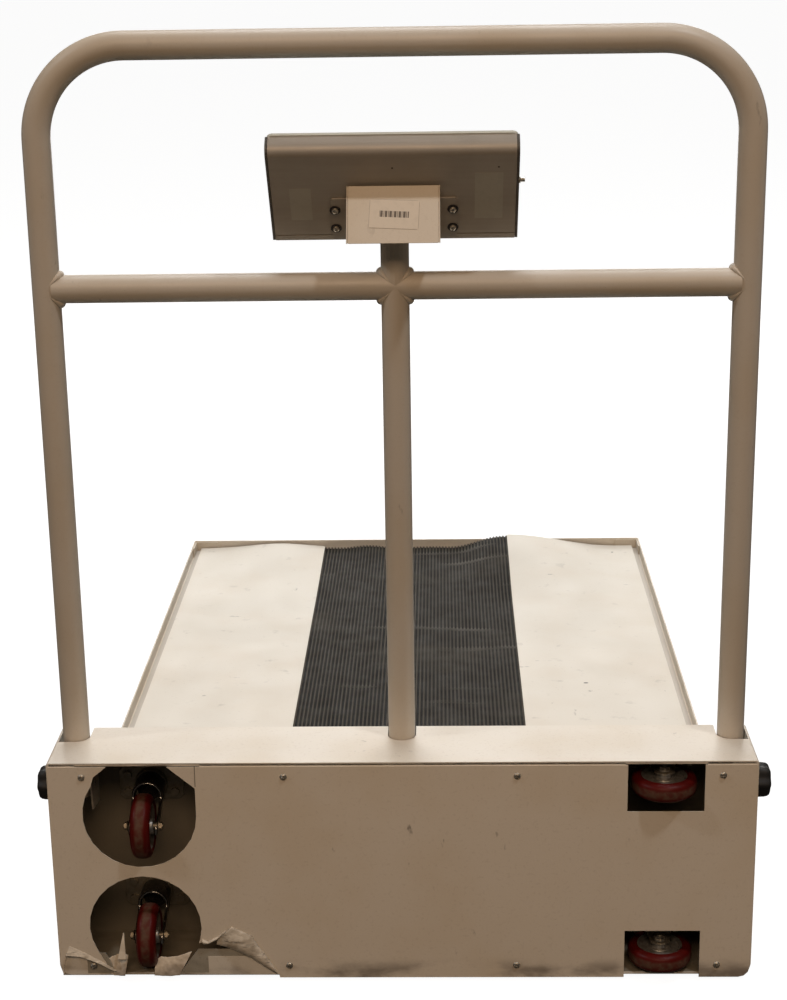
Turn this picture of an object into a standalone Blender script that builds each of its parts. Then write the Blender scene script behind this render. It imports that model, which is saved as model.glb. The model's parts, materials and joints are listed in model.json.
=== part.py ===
"""Walk-on animal weighing scale with a folding handrail and tip-and-roll casters.

Metres, +Z up. The housing's rear is at -Y, the platform runs towards +Y, and the
origin is on the floor under the middle of the whole scale.
"""
import math

import bmesh
import bpy
from mathutils import Matrix

# Housing; depths are measured from its rear face
HOUSING_W = 0.810
HOUSING_D = 0.1017
HOUSING_TOP = 0.280
HOUSING_BOTTOM = 0.0087
SHEET = 0.0018
CORNER_R = 0.013
FLANGE = 0.024
GAP = 0.0003
COVER_BOTTOM = 0.0055
SCREW_HEIGHTS = (0.263, 0.0215)
SCREW_PLACES = (-0.365, -0.134, 0.132, 0.365)

# Platform
PLATFORM_W = 0.798
PLATFORM_START = 0.1057
PLATFORM_END = 1.2885
PLATFORM_TOP = 0.127
SKIRT_BOTTOM = 0.045
DECK_TOP = 0.1095
DECK_SHEET = 0.002
MAT_W = 0.693
RIB_H = 0.0034
RAIL_X = 0.300

# Casters
CASTER_X = 0.301
WHEEL_R = 0.0375
WHEEL_W = 0.024
WHEEL_DEPTH = 0.0225
RIM_R = 0.0265
AXLE_R = 0.004
SWIVEL_HEIGHTS = {"upper": 0.211, "lower": 0.069}
TRAIL = 0.0205
RIGID_HEIGHTS = {"upper": 0.2435, "lower": 0.0265}
WINDOW_R = 0.0655

# Handrail
TUBE_R = 0.0155
TUBE_WALL = 0.002
RAIL_SPAN = 0.7660
RAIL_DEPTH = 0.0770
RAIL_TOP = 1.0717
MID_RAIL_Z = 0.8121
BEND_R = 0.098
PIVOT_Z = 0.221
POST_END = 0.014
SLOT_GAP = 0.0010
STUD_R = 0.0048
KNOB_REACH = 0.0262

# Display head, its shapes drawn flat against the display's rear face
TILT = math.radians(36.0)
TILT_AXIS_Z = 0.866
BOX_FLOOR_Z = 0.868
BOX_REACH = 0.0603
EAR_R = 0.0062
STEM_TOP_R = 0.0132
STEM_POCKET = (0.026, 0.0155, 0.0200, 0.0150)
DISPLAY_W = 0.268
DISPLAY_H = 0.134
FACE_DEPTH = 0.1037
FACE_Z = 0.8572
SHELL_D = 0.0215
SHELL_WALL = 0.0022
BEZEL_D = 0.0040
END_CAP = 0.0028
HEAD_W = 0.0996
KEY_R = 0.0079

REAR_Y = -(PLATFORM_END - (WHEEL_R - WHEEL_DEPTH)) / 2.0
TURNS = {
    "X": (math.pi / 2, 0.0, math.pi / 2),
    "Y": (math.pi / 2, 0.0, 0.0),
    "Z": (0.0, 0.0, 0.0),
}

# Name, base colour, metallic, roughness
CREAM = ("cream_enamel", (0.62, 0.54, 0.44), 0.0, 0.42)
COVER = ("cover_enamel", (0.58, 0.50, 0.40), 0.0, 0.50)
STEEL = ("zinc_steel", (0.62, 0.60, 0.56), 1.0, 0.35)
CHROME = ("chromed_steel", (0.72, 0.72, 0.72), 1.0, 0.18)
ALUMINIUM = ("anodised_aluminium", (0.55, 0.54, 0.52), 1.0, 0.38)
BLACK = ("black_plastic", (0.03, 0.03, 0.032), 0.0, 0.45)
TREAD = ("red_polyurethane", (0.20, 0.030, 0.020), 0.0, 0.38)
RUBBER = ("ribbed_rubber", (0.035, 0.034, 0.033), 0.0, 0.80)
PANEL = ("white_panel", (0.74, 0.70, 0.62), 0.0, 0.50)
LENS = ("display_lens", (0.05, 0.07, 0.06), 0.0, 0.08)
KEY = ("key_grey", (0.35, 0.36, 0.37), 0.0, 0.55)
BOARD = ("circuit_board", (0.03, 0.16, 0.07), 0.0, 0.50)

for stale in list(bpy.data.objects):
    bpy.data.objects.remove(stale)

PARTS = bpy.data.collections.new("animal_weighing_scale")
CUTTERS = bpy.data.collections.new("cutters")
bpy.context.scene.collection.children.link(PARTS)
bpy.context.scene.collection.children.link(CUTTERS)


def paint(spec):
    """The Principled material of a sub-part."""
    name, colour, metallic, roughness = spec
    made = bpy.data.materials.get(name)
    if made is None:
        made = bpy.data.materials.new(name)
        made.use_nodes = True
        made.diffuse_color = (*colour, 1.0)
        shader = made.node_tree.nodes["Principled BSDF"]
        shader.inputs["Base Color"].default_value = (*colour, 1.0)
        shader.inputs["Metallic"].default_value = metallic
        shader.inputs["Roughness"].default_value = roughness
    return made


def add(name, mesh, location, turn, spec):
    """Link a mesh as a painted sub-part, or as a hidden cutter when it has no paint."""
    made = bpy.data.objects.new(name, mesh)
    made.location = location
    made.rotation_euler = turn
    if spec is None:
        CUTTERS.objects.link(made)
        made.hide_render = True
        made.display_type = "WIRE"
        return made
    PARTS.objects.link(made)
    mesh.materials.append(paint(spec))
    mesh.shade_smooth()
    mesh.set_sharp_from_angle(angle=math.radians(35.0))
    return made


def spot(axis, across, up, along):
    """A point from its two cross-section values and its value along an axis."""
    return {"X": (along, across, up), "Y": (across, along, up), "Z": (across, up, along)}[axis]


def block(name, low, high, spec=None):
    """A cube primitive stretched between two corners."""
    shape = bmesh.new()
    bmesh.ops.create_cube(shape, size=1.0)
    bmesh.ops.scale(shape, vec=[b - a for a, b in zip(low, high)], verts=shape.verts)
    mesh = bpy.data.meshes.new(name)
    shape.to_mesh(mesh)
    shape.free()
    return add(name, mesh, [(a + b) / 2.0 for a, b in zip(low, high)], TURNS["Z"], spec)


def rod(name, axis, centre, radius, low, high, sides=20, spec=None):
    """A cylinder primitive along an axis."""
    shape = bmesh.new()
    length = abs(high - low)
    bmesh.ops.create_cone(shape, cap_ends=True, segments=sides, radius1=radius, radius2=radius, depth=length)
    mesh = bpy.data.meshes.new(name)
    shape.to_mesh(mesh)
    shape.free()
    return add(name, mesh, spot(axis, *centre, (low + high) / 2.0), TURNS[axis], spec)


def as_mesh(name, curve, location, turn, spec):
    """Turn a curve object into a welded mesh object."""
    guide = bpy.data.objects.new(f"{name}_curve", curve)
    guide.location = location
    guide.rotation_euler = turn
    bpy.context.scene.collection.objects.link(guide)
    bpy.context.view_layer.update()
    mesh = bpy.data.meshes.new_from_object(guide.evaluated_get(bpy.context.evaluated_depsgraph_get()))
    mesh.name = name
    shape = bmesh.new()
    shape.from_mesh(mesh)
    bmesh.ops.remove_doubles(shape, verts=shape.verts, dist=0.00001)
    shape.to_mesh(mesh)
    shape.free()
    mesh.materials.clear()
    made = add(name, mesh, (0.0, 0.0, 0.0), (0.0, 0.0, 0.0), spec)
    made.matrix_world = guide.matrix_world
    bpy.data.objects.remove(guide)
    return made


def spline(curve, points, closed):
    """Add a straight-sided spline through points."""
    line = curve.splines.new("POLY")
    line.points.add(len(points) - 1)
    for knot, place in zip(line.points, points):
        knot.co = (*place, 1.0)
    line.use_cyclic_u = closed


def extrusion(name, outline, axis, low, high, spec=None, centre=(0.0, 0.0)):
    """A flat filled outline carried along an axis."""
    curve = bpy.data.curves.new(name, "CURVE")
    curve.dimensions = "2D"
    curve.fill_mode = "BOTH"
    curve.extrude = abs(high - low) / 2.0
    spline(curve, [(a, b, 0.0) for a, b in outline], True)
    return as_mesh(name, curve, spot(axis, *centre, (low + high) / 2.0), TURNS[axis], spec)


def bar(name, path, radius, resolution=8, spec=None):
    """A round bar along a path in world space."""
    curve = bpy.data.curves.new(name, "CURVE")
    curve.dimensions = "3D"
    curve.bevel_depth = radius
    curve.bevel_resolution = resolution
    curve.use_fill_caps = True
    spline(curve, path, False)
    return as_mesh(name, curve, (0.0, 0.0, 0.0), TURNS["Z"], spec)


def turned(name, profile, axis, location, sides, spec):
    """A (radius, along) profile, read from its top down its outer side, spun with Screw."""
    mesh = bpy.data.meshes.new(name)
    count = len(profile)
    edges = [(i, i + 1) for i in range(count - 1)]
    if profile[0][0] > 0.0:
        edges.append((count - 1, 0))
    mesh.from_pydata([(radius, 0.0, along) for radius, along in profile], edges, [])
    turn = (-math.pi / 2, 0.0, 0.0) if axis == "Y" else TURNS[axis]
    made = add(name, mesh, location, turn, spec)
    spin = made.modifiers.new("turned", "SCREW")
    spin.axis = "Z"
    spin.steps = sides
    spin.render_steps = sides
    spin.use_merge_vertices = True
    spin.merge_threshold = 0.00005
    return made


def combine(target, tools, operation):
    """Exact booleans with tools kept among the cutters."""
    for tool in tools:
        step = target.modifiers.new(tool.name, "BOOLEAN")
        step.operation = operation
        step.solver = "EXACT"
        step.object = tool
    return target


def cut(target, *tools):
    """Take tools out of a sub-part."""
    return combine(target, tools, "DIFFERENCE")


def weld(target, *tools):
    """Fuse tools onto a sub-part."""
    return combine(target, tools, "UNION")


def trim(target, tool):
    """Keep only what lies inside a tool."""
    return combine(target, [tool], "INTERSECT")


def empty(name, location, turn=(0.0, 0.0, 0.0), parent=None):
    """A joint or placement frame."""
    made = bpy.data.objects.new(name, None)
    made.empty_display_size = 0.03
    made.location = location
    made.rotation_euler = turn
    PARTS.objects.link(made)
    if parent:
        hang(made, parent)
    return made


def world_of(frame):
    """World matrix of an empty, worked out up its chain of parents."""
    own = Matrix.LocRotScale(frame.location, frame.rotation_euler, None)
    if frame.parent:
        return world_of(frame.parent) @ frame.matrix_parent_inverse @ own
    return own


def hang(child, parent):
    """Parent a piece to a frame without moving it."""
    child.parent = parent
    child.matrix_parent_inverse = world_of(parent).inverted()
    return child


def arc(centre, radius, first, last, steps):
    """Points along an arc, angles in degrees."""
    angles = [math.radians(first + (last - first) * i / steps) for i in range(steps + 1)]
    return [(centre[0] + radius * math.cos(a), centre[1] + radius * math.sin(a)) for a in angles]


def depth(value):
    """World Y of a depth measured from the housing's rear face."""
    return REAR_Y + value


def rounded(half_w, bottom, top, lower_r, upper_r, steps=3):
    """An upright rectangle with rounded lower and upper corners."""
    points = arc((half_w - lower_r, bottom + lower_r), lower_r, -90, 0, steps)
    points += arc((half_w - upper_r, top - upper_r), upper_r, 0, 90, steps)
    points += arc((-half_w + upper_r, top - upper_r), upper_r, 90, 180, steps)
    return points + arc((-half_w + lower_r, bottom + lower_r), lower_r, 180, 270, steps)


# Housing and rear cover

def caster_windows():
    """Round windows for the swivel casters, square ones for the rigid casters."""
    x = -CASTER_X
    near, far = depth(-0.02), depth(0.02)
    lip = HOUSING_TOP - 0.0042
    upper = arc((x, 0.215), WINDOW_R, 0, -215, 16)
    upper += [(x - 0.0505, 0.2632), (x - 0.0355, lip), (x + 0.0342, lip), (x + WINDOW_R, 0.249)]
    lower = arc((x, 0.0725), WINDOW_R, -28, 208, 18)
    lower += [(x - 0.0440, 0.0150), (x - 0.0440, -0.02), (x + 0.0434, -0.02), (x + 0.0434, 0.0145)]
    return [
        extrusion("window_upper_left", upper, "Y", near, far),
        extrusion("window_lower_left", lower, "Y", near, far),
        block("window_upper_right", (0.2572, near, 0.218), (0.3447, far, lip)),
        block("window_lower_right", (0.2572, near, -0.02), (0.3447, far, 0.066)),
    ]


def tube_slot(name, x, square_side):
    """A U-shaped way for one handrail tube through the top and the front wall."""
    reach = TUBE_R + SLOT_GAP
    middle = depth(RAIL_DEPTH)
    far = depth(HOUSING_D + 0.02)
    low, high = PIVOT_Z - reach, HOUSING_TOP + 0.02
    points = [(x + reach, far), (x - reach, far)] + arc((x, middle), reach, 180, 360, 10)
    slot = extrusion(name, points, "Z", low, high)
    if square_side:
        outer = x + square_side * (reach + 0.0022)
        sides = sorted((x, outer))
        weld(slot, block(f"{name}_square", (sides[0], middle - reach, low), (sides[1], far, high)))
    return slot


def screw_holes(name, radius):
    """Cutters for the eight cover screws."""
    places = [(x, z) for z in SCREW_HEIGHTS for x in SCREW_PLACES]
    return [rod(f"{name}_{i}", "Y", at, radius, depth(-0.01), depth(0.01), 10) for i, at in enumerate(places)]


def base_housing():
    """Folded sheet housing, open at the back inside a screw flange."""
    half = HOUSING_W / 2.0
    outer = rounded(half, HOUSING_BOTTOM, HOUSING_TOP, CORNER_R, 0.003)
    shell = extrusion("base_housing", outer, "Y", depth(0.0), depth(HOUSING_D), CREAM)
    floor, roof = HOUSING_BOTTOM + SHEET, HOUSING_TOP - SHEET
    inner = rounded(half - SHEET, floor, roof, CORNER_R - SHEET, 0.0012)
    cut(shell, extrusion("housing_room", inner, "Y", depth(SHEET), depth(HOUSING_D - SHEET)))
    window = rounded(half - FLANGE, HOUSING_BOTTOM + FLANGE, HOUSING_TOP - FLANGE, 0.004, 0.004, 2)
    cut(shell, extrusion("housing_back", window, "Y", depth(-0.01), depth(SHEET + 0.001)))
    near, far = depth(-0.01), depth(SHEET + 0.0005)
    cut(shell, block("relief_upper_left", (-0.3725, near, 0.145), (-0.2295, far, roof)))
    cut(shell, block("relief_lower_left", (-0.3725, near, floor), (-0.2295, far, 0.140)))
    cut(shell, block("relief_upper_right", (0.2545, near, 0.215), (0.3475, far, roof)))
    cut(shell, block("relief_lower_right", (0.2545, near, floor), (0.3475, far, 0.070)))
    span = RAIL_SPAN / 2.0
    for hand, x, side in (("left", -span, -1), ("middle", 0.0, 0), ("right", span, 1)):
        cut(shell, tube_slot(f"slot_{hand}", x, side))
    cut(shell, rod("stud_way", "X", (depth(RAIL_DEPTH), PIVOT_Z), STUD_R + 0.0005, -0.42, 0.42))
    return cut(shell, *screw_holes("tapping", 0.0024))


def rear_cover():
    """Thin screwed-on sheet with windows for the four casters."""
    outline = rounded(HOUSING_W / 2.0 - 0.0015, COVER_BOTTOM, HOUSING_TOP - 0.0042, CORNER_R, 0.002)
    sheet = extrusion("rear_cover", outline, "Y", depth(-0.0015), depth(-GAP), COVER)
    return cut(sheet, *caster_windows(), *screw_holes("clearance", 0.0024))


def cover_screws():
    """Pan-head screws holding the rear cover."""
    profile = [(0.0, 0.0070), (0.0020, 0.0070), (0.0020, -0.0018)]
    profile += [(0.0042, -0.0018), (0.0036, -0.0032), (0.0, -0.0038)]
    places = [(x, z) for z in SCREW_HEIGHTS for x in SCREW_PLACES]
    for i, (x, z) in enumerate(places):
        turned(f"cover_screw_{i + 1}", profile, "Y", (x, depth(0.0), z), 10, STEEL)


# Casters

def caster_wall():
    """World Y of the inner face that the casters are bolted to."""
    return depth(HOUSING_D - SHEET - GAP)


def swivel_plate(name, z):
    """Bolted top plate of a swivel caster with its raised bearing race."""
    wall = caster_wall()
    outline = rounded(0.038, -0.0205, 0.0205, 0.005, 0.005, 1)
    plate = extrusion(name, outline, "Y", wall - 0.003, wall, STEEL, (-CASTER_X, z))
    weld(plate, rod(f"{name}_race", "Y", (-CASTER_X, z), 0.0195, wall - 0.0105, wall - 0.001))
    for i, (dx, dz) in enumerate(((-0.028, -0.011), (0.028, -0.011), (-0.028, 0.011), (0.028, 0.011))):
        place = (dx - CASTER_X, z + dz)
        weld(plate, rod(f"{name}_bolt_{i}", "Y", place, 0.0055, wall - 0.0075, wall - 0.001, 6))
    return plate


def swivel_fork(name, z):
    """Pressed fork under its race, with the wheel's axle bolt across its legs."""
    x = -CASTER_X
    top = caster_wall() - 0.0108
    inside = WHEEL_W / 2.0 + 0.0012
    outside = inside + 0.0023
    web = top - 0.0060
    inner_web = web - 0.0023
    axle = (depth(WHEEL_DEPTH), z - TRAIL)
    tip = axle[0] - 0.011
    legs = [(-outside, tip), (-inside, tip), (-inside, inner_web - 0.004), (-inside + 0.004, inner_web)]
    legs += [(inside - 0.004, inner_web), (inside, inner_web - 0.004), (inside, tip), (outside, tip)]
    legs += [(outside, web - 0.004), (outside - 0.004, web), (0.004 - outside, web), (-outside, web - 0.004)]
    body = extrusion(name, legs, "Z", axle[1] - 0.013, z + 0.017, CHROME, (x, 0.0))
    side = [(web + 0.002, z + 0.017), (web - 0.012, z + 0.017)] + arc(axle, 0.0098, 75, 285, 6)
    side += [(web - 0.010, z - 0.017), (web + 0.002, z - 0.017)]
    trim(body, extrusion(f"{name}_side", side, "X", x - 0.04, x + 0.04))
    weld(body, rod(f"{name}_head", "Y", (x, z), 0.0165, web - 0.001, top))
    weld(body, rod(f"{name}_axle", "X", axle, AXLE_R, x - outside - 0.001, x + outside + 0.001, 14))
    weld(body, rod(f"{name}_bolt", "X", axle, 0.0068, x - outside - 0.0040, x - outside + 0.0005, 6))
    return weld(body, rod(f"{name}_nut", "X", axle, 0.0068, x + outside - 0.0005, x + outside + 0.0050, 6))


def rigid_fork(name, z):
    """Fixed fork bolted inside the housing, with an upright axle bolt."""
    wall = caster_wall()
    inside = WHEEL_W / 2.0 + 0.0012
    outside = inside + 0.0020
    axle = (CASTER_X, depth(WHEEL_DEPTH))
    tip = axle[1] - 0.013
    legs = [(tip, -outside), (wall, -outside), (wall, outside), (tip, outside)]
    legs += [(tip, inside), (wall - 0.003, inside), (wall - 0.003, -inside), (tip, -inside)]
    body = extrusion(name, legs, "X", CASTER_X - 0.041, CASTER_X + 0.041, STEEL, (0.0, z))
    plan = [(0.024, wall - 0.006), (0.042, wall - 0.0032), (0.042, wall + 0.001)]
    plan += [(-0.042, wall + 0.001), (-0.042, wall - 0.0032), (-0.024, wall - 0.006)]
    plan += arc((0.0, axle[1]), 0.012, 170, 370, 8)
    trim(body, extrusion(f"{name}_plan", plan, "Z", z - 0.03, z + 0.03, None, (CASTER_X, 0.0)))
    weld(body, rod(f"{name}_axle", "Z", axle, AXLE_R, z - outside + 0.0004, z + outside + 0.001, 14))
    return weld(body, rod(f"{name}_nut", "Z", axle, 0.0068, z + outside - 0.0005, z + outside + 0.0055, 6))


def wheel(name, axis, axle):
    """A cast hub and its bonded tread, both turned about the axle."""
    half = WHEEL_W / 2.0
    bore, rim = AXLE_R + GAP, RIM_R - GAP
    face = [(bore, half), (0.0095, half), (0.0100, half - 0.0055)]
    face += [(0.0220, half - 0.0060), (rim, half - 0.0022)]
    hub = face + [(radius, -along) for radius, along in reversed(face)]
    turned(f"{name}_hub", hub, axis, axle, 24, STEEL)
    shoulder = [(RIM_R, half - 0.0022), (RIM_R + 0.0035, half - 0.0006), (WHEEL_R - 0.0030, half - 0.0022)]
    shoulder += [(WHEEL_R, half - 0.0075)]
    tread = shoulder + [(radius, -along) for radius, along in reversed(shoulder)]
    turned(f"{name}_tyre", tread, axis, axle, 28, TREAD)


def casters():
    """Two swivel casters on the left and two rigid casters on the right."""
    for name, z in SWIVEL_HEIGHTS.items():
        swivel_plate(f"swivel_plate_{name}", z)
        axis = empty(f"swivel_axis_{name}", (-CASTER_X, caster_wall(), z))
        hang(swivel_fork(f"swivel_fork_{name}", z), axis)
        wheel(f"swivel_{name}", "X", (-CASTER_X, depth(WHEEL_DEPTH), z - TRAIL))
    for name, z in RIGID_HEIGHTS.items():
        rigid_fork(f"rigid_fork_{name}", z)
        wheel(f"rigid_{name}", "Z", (CASTER_X, depth(WHEEL_DEPTH), z))


# Handrail

def tube(name, path, bore_path):
    """A round tube, bored right through its open ends."""
    y = depth(RAIL_DEPTH)
    body = bar(name, [(x, y, z) for x, z in path], TUBE_R, 8, CREAM)
    return cut(body, bar(f"{name}_bore", [(x, y, z) for x, z in bore_path], TUBE_R - TUBE_WALL, 6))


def saddle(name, axis, across, low, high):
    """Cutter the size of a neighbouring tube, for a coped end."""
    return rod(name, axis, across, TUBE_R + GAP, low, high, 40)


def handrail_hoop():
    """Bent outer tube of the handrail, drilled for the two lock studs."""
    half = RAIL_SPAN / 2.0
    shoulder = RAIL_TOP - BEND_R
    foot = PIVOT_Z - POST_END
    bends = arc((-half + BEND_R, shoulder), BEND_R, 180, 90, 8)
    bends += arc((half - BEND_R, shoulder), BEND_R, 90, 0, 8)
    path = [(-half, foot), *bends, (half, foot)]
    bore = [(-half, foot - 0.01), *bends, (half, foot - 0.01)]
    hoop = tube("handrail_hoop", path, bore)
    return cut(hoop, rod("hoop_holes", "X", (depth(RAIL_DEPTH), PIVOT_Z), STUD_R + 0.0005, -0.42, 0.42))


def mid_rail():
    """Cross rail coped to the side tubes."""
    half = RAIL_SPAN / 2.0
    y = depth(RAIL_DEPTH)
    ends = [(-half, MID_RAIL_Z), (half, MID_RAIL_Z)]
    rail = tube("mid_rail", ends, [(-0.4, MID_RAIL_Z), (0.4, MID_RAIL_Z)])
    for hand, x in (("left", -half), ("right", half)):
        cut(rail, saddle(f"cope_{hand}", "Z", (x, y), MID_RAIL_Z - 0.06, MID_RAIL_Z + 0.06))
    return rail


def centre_post():
    """Middle tube from the pivot clevis up to the cross rail."""
    y = depth(RAIL_DEPTH)
    foot = PIVOT_Z - POST_END
    bore = [(0.0, foot - 0.01), (0.0, MID_RAIL_Z + 0.02)]
    post = tube("centre_post", [(0.0, foot), (0.0, MID_RAIL_Z)], bore)
    cut(post, saddle("cope_post", "X", (y, MID_RAIL_Z), -0.03, 0.03))
    return cut(post, rod("post_hole", "X", (y, PIVOT_Z), STUD_R + 0.0005, -0.03, 0.03))


def centre_clevis():
    """Clevis inside the housing, with the pin of the centre post."""
    wall = caster_wall()
    front = depth(RAIL_DEPTH) - 0.011
    low, shelf = PIVOT_Z - 0.050, PIVOT_Z - 0.034
    body = block("centre_clevis", (-0.0235, front, low), (0.0235, wall, PIVOT_Z + 0.012), STEEL)
    cut(body, block("clevis_way", (-0.0178, front - 0.01, shelf), (0.0178, wall + 0.01, PIVOT_Z + 0.03)))
    cut(body, block("clevis_relief", (-0.03, front - 0.01, low - 0.01), (0.03, wall - 0.004, shelf - 0.003)))
    return weld(body, rod("clevis_pin", "X", (depth(RAIL_DEPTH), PIVOT_Z), STUD_R, -0.0225, 0.0225))


def lock_knob(name, side):
    """Lobed hand knob whose stud pins and clamps a side tube."""
    outline = []
    for i in range(36):
        angle = math.tau * i / 36
        radius = 0.0211 + 0.0016 * math.cos(6.0 * angle)
        outline.append((radius * math.cos(angle), radius * math.sin(angle)))
    wall = HOUSING_W / 2.0
    centre = (depth(RAIL_DEPTH), PIVOT_Z)
    knob = extrusion(name, outline, "X", side * (wall + 0.0060), side * (wall + KNOB_REACH), BLACK, centre)
    weld(knob, rod(f"{name}_collar", "X", centre, 0.0105, side * (wall + 0.0004), side * (wall + 0.0080)))
    inner = side * (RAIL_SPAN / 2.0 - TUBE_R - 0.0030)
    return weld(knob, rod(f"{name}_stud", "X", centre, STUD_R, inner, side * (wall + 0.0070)))


def display_stem():
    """Short tube above the cross rail with a rounded, drilled top."""
    y = depth(RAIL_DEPTH)
    top = TILT_AXIS_Z + 0.02
    stem = bar("display_stem", [(0.0, y, MID_RAIL_Z), (0.0, y, top)], TUBE_R, 8, CREAM)
    low, cheek, side = MID_RAIL_Z - 0.01, TILT_AXIS_Z - 0.008, 0.0170
    end = [(y - side, low), (y + side, low), (y + side, cheek)]
    end += arc((y, TILT_AXIS_Z), STEM_TOP_R, -12, 192, 10) + [(y - side, cheek)]
    trim(stem, extrusion("stem_round", end, "X", -0.03, 0.03))
    bore = [(0.0, y, MID_RAIL_Z - 0.02), (0.0, y, TILT_AXIS_Z - 0.012)]
    cut(stem, bar("stem_bore", bore, TUBE_R - TUBE_WALL, 6))
    cut(stem, saddle("cope_stem", "X", (y, MID_RAIL_Z), -0.03, 0.03))
    return cut(stem, rod("stem_hole", "X", (y, TILT_AXIS_Z), 0.0033, -0.03, 0.03, 14))


def handrail():
    """The folding frame, hung on its fold axis."""
    axis = empty("fold_axis", (0.0, depth(RAIL_DEPTH), PIVOT_Z))
    for piece in (handrail_hoop(), mid_rail(), centre_post(), display_stem()):
        hang(piece, axis)
    centre_clevis()
    lock_knob("lock_knob_left", -1)
    lock_knob("lock_knob_right", 1)
    return axis


# Display head

def shell_outline(inset=0.0):
    """The display extrusion from its end: flat back, round upper rear edge."""
    r = 0.0110 - inset
    top = DISPLAY_H - inset
    front = SHELL_D - inset
    points = [(inset, inset + 0.003), (inset + 0.003, inset), (front, inset), (front, top)]
    return points + arc((inset + r, top - r), r, 90, 180, 5)


def display_shell(face):
    """Hollow aluminium extrusion with a seam along its lower rear edge, and its end caps."""
    half = DISPLAY_W / 2.0 - END_CAP - GAP
    shell = extrusion("display_housing", shell_outline(), "X", -half, half, ALUMINIUM)
    room = extrusion("shell_room", shell_outline(SHELL_WALL), "X", -half - 0.01, half + 0.01)
    seam = block("shell_seam", (-half - 0.01, -0.01, 0.0078), (half + 0.01, 0.0007, 0.0086))
    cut(shell, room, seam)
    edge = DISPLAY_W / 2.0
    left = extrusion("end_cap_left", shell_outline(), "X", -edge, END_CAP - edge, BLACK)
    right = extrusion("end_cap_right", shell_outline(), "X", edge - END_CAP, edge, BLACK)
    for piece in (shell, room, seam, left, right):
        piece.parent = face


def display_front(face):
    """Front bezel with its lens and keys, and the circuit board inside."""
    low = SHELL_D + GAP
    high = low + BEZEL_D
    outline = rounded(DISPLAY_W / 2.0 - 0.0012, 0.0005, DISPLAY_H + 0.001, 0.006, 0.006)
    bezel = extrusion("front_bezel", outline, "Y", low, high, PANEL)
    pieces = [bezel, block("window_hole", (-0.0855, low - 0.01, 0.0575), (0.0855, high + 0.01, 0.1125))]
    for i, x in enumerate((-0.024, 0.024)):
        pieces.append(rod(f"key_way_{i}", "Y", (x, 0.030), KEY_R + 0.0004, low - 0.01, high + 0.01))
    cut(bezel, *pieces[1:])
    for i, x in enumerate((-0.024, 0.024)):
        pieces.append(rod(f"key_{i + 1}", "Y", (x, 0.030), KEY_R, low + 0.0019, high + 0.0007, 20, KEY))
    glass = (-0.0852, low + 0.0006, 0.0578), (0.0852, low + 0.0034, 0.1122)
    pieces.append(block("display_window", *glass, LENS))
    pieces.append(block("circuit_board", (-0.110, 0.0085, 0.016), (0.110, 0.0101, 0.116), BOARD))
    for piece in pieces:
        piece.parent = face


def data_socket(face):
    """Small threaded connector standing out of the right end cap."""
    edge = DISPLAY_W / 2.0 + GAP
    profile = [(0.0, 0.0062), (0.0026, 0.0062), (0.0026, 0.0014), (0.0040, 0.0014), (0.0040, 0.0), (0.0, 0.0)]
    turned("data_socket", profile, "X", (edge, 0.0115, 0.078), 12, STEEL).parent = face


def bracket_plate(face):
    """Steel plate on the display's rear with its four screws."""
    outline = rounded(0.068, 0.0105, 0.0655, 0.002, 0.002, 1)
    plate = extrusion("bracket_plate", outline, "Y", -0.0023, -GAP, STEEL)
    plate.parent = face
    for i, (x, z) in enumerate(((-0.0635, 0.0225), (0.0635, 0.0225), (-0.0635, 0.0495), (0.0635, 0.0495))):
        washer = rod(f"plate_washer_{i}", "Y", (x, z), 0.0052, -0.0032, -0.0012, 14)
        head = rod(f"plate_head_{i}", "Y", (x, z), 0.0034, -0.0056, -0.0025, 10)
        washer.parent = face
        head.parent = face
        weld(plate, washer, head)


def tilt_box():
    """Wedge-shaped box under the display, with a pocket for the stem and two ears on the tilt bolt."""
    y = depth(RAIL_DEPTH)
    floor = BOX_FLOOR_Z
    pocket_half, to_rear, to_front, up = STEM_POCKET
    ceiling = TILT_AXIS_Z + up
    face = Matrix.Translation((0.0, depth(FACE_DEPTH), FACE_Z)) @ Matrix.Rotation(TILT, 4, "X")
    top = face @ Matrix.Translation((0.0, -0.0026, 0.0850))
    foot = face @ Matrix.Translation((0.0, -0.0026, 0.0145))
    side = [(top.translation.y, top.translation.z), (y - BOX_REACH, floor)]
    side += [(foot.translation.y - 0.004, floor), (foot.translation.y, foot.translation.z)]
    half = HEAD_W / 2.0
    body = extrusion("tilt_box", side, "X", -half, half, CREAM)
    low, high = (-pocket_half, y - to_rear, floor - 0.01), (pocket_half, y + to_front, ceiling)
    cut(body, block("stem_pocket", low, high))
    for hand in (-1, 1):
        ear = arc((y, TILT_AXIS_Z), EAR_R, 180, 360, 8)
        ear += [(y + 0.0045, ceiling + 0.0013), (y - 0.0060, ceiling + 0.0013)]
        weld(body, extrusion(f"ear_{hand}", ear, "X", hand * (TUBE_R + 0.0006), hand * (TUBE_R + 0.0031)))
    return cut(body, rod("ear_holes", "X", (y, TILT_AXIS_Z), 0.0033, -0.03, 0.03, 14))


def tilt_bolt():
    """Bolt and nut that the head tilts on."""
    reach = TUBE_R + 0.0034
    profile = [(0.0, reach + 0.0045), (0.0055, reach + 0.0045), (0.0055, reach), (0.0030, reach)]
    profile += [(0.0030, -reach), (0.0055, -reach), (0.0055, -reach - 0.0040), (0.0, -reach - 0.0040)]
    return turned("tilt_bolt", profile, "X", (0.0, depth(RAIL_DEPTH), TILT_AXIS_Z), 16, STEEL)


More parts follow.
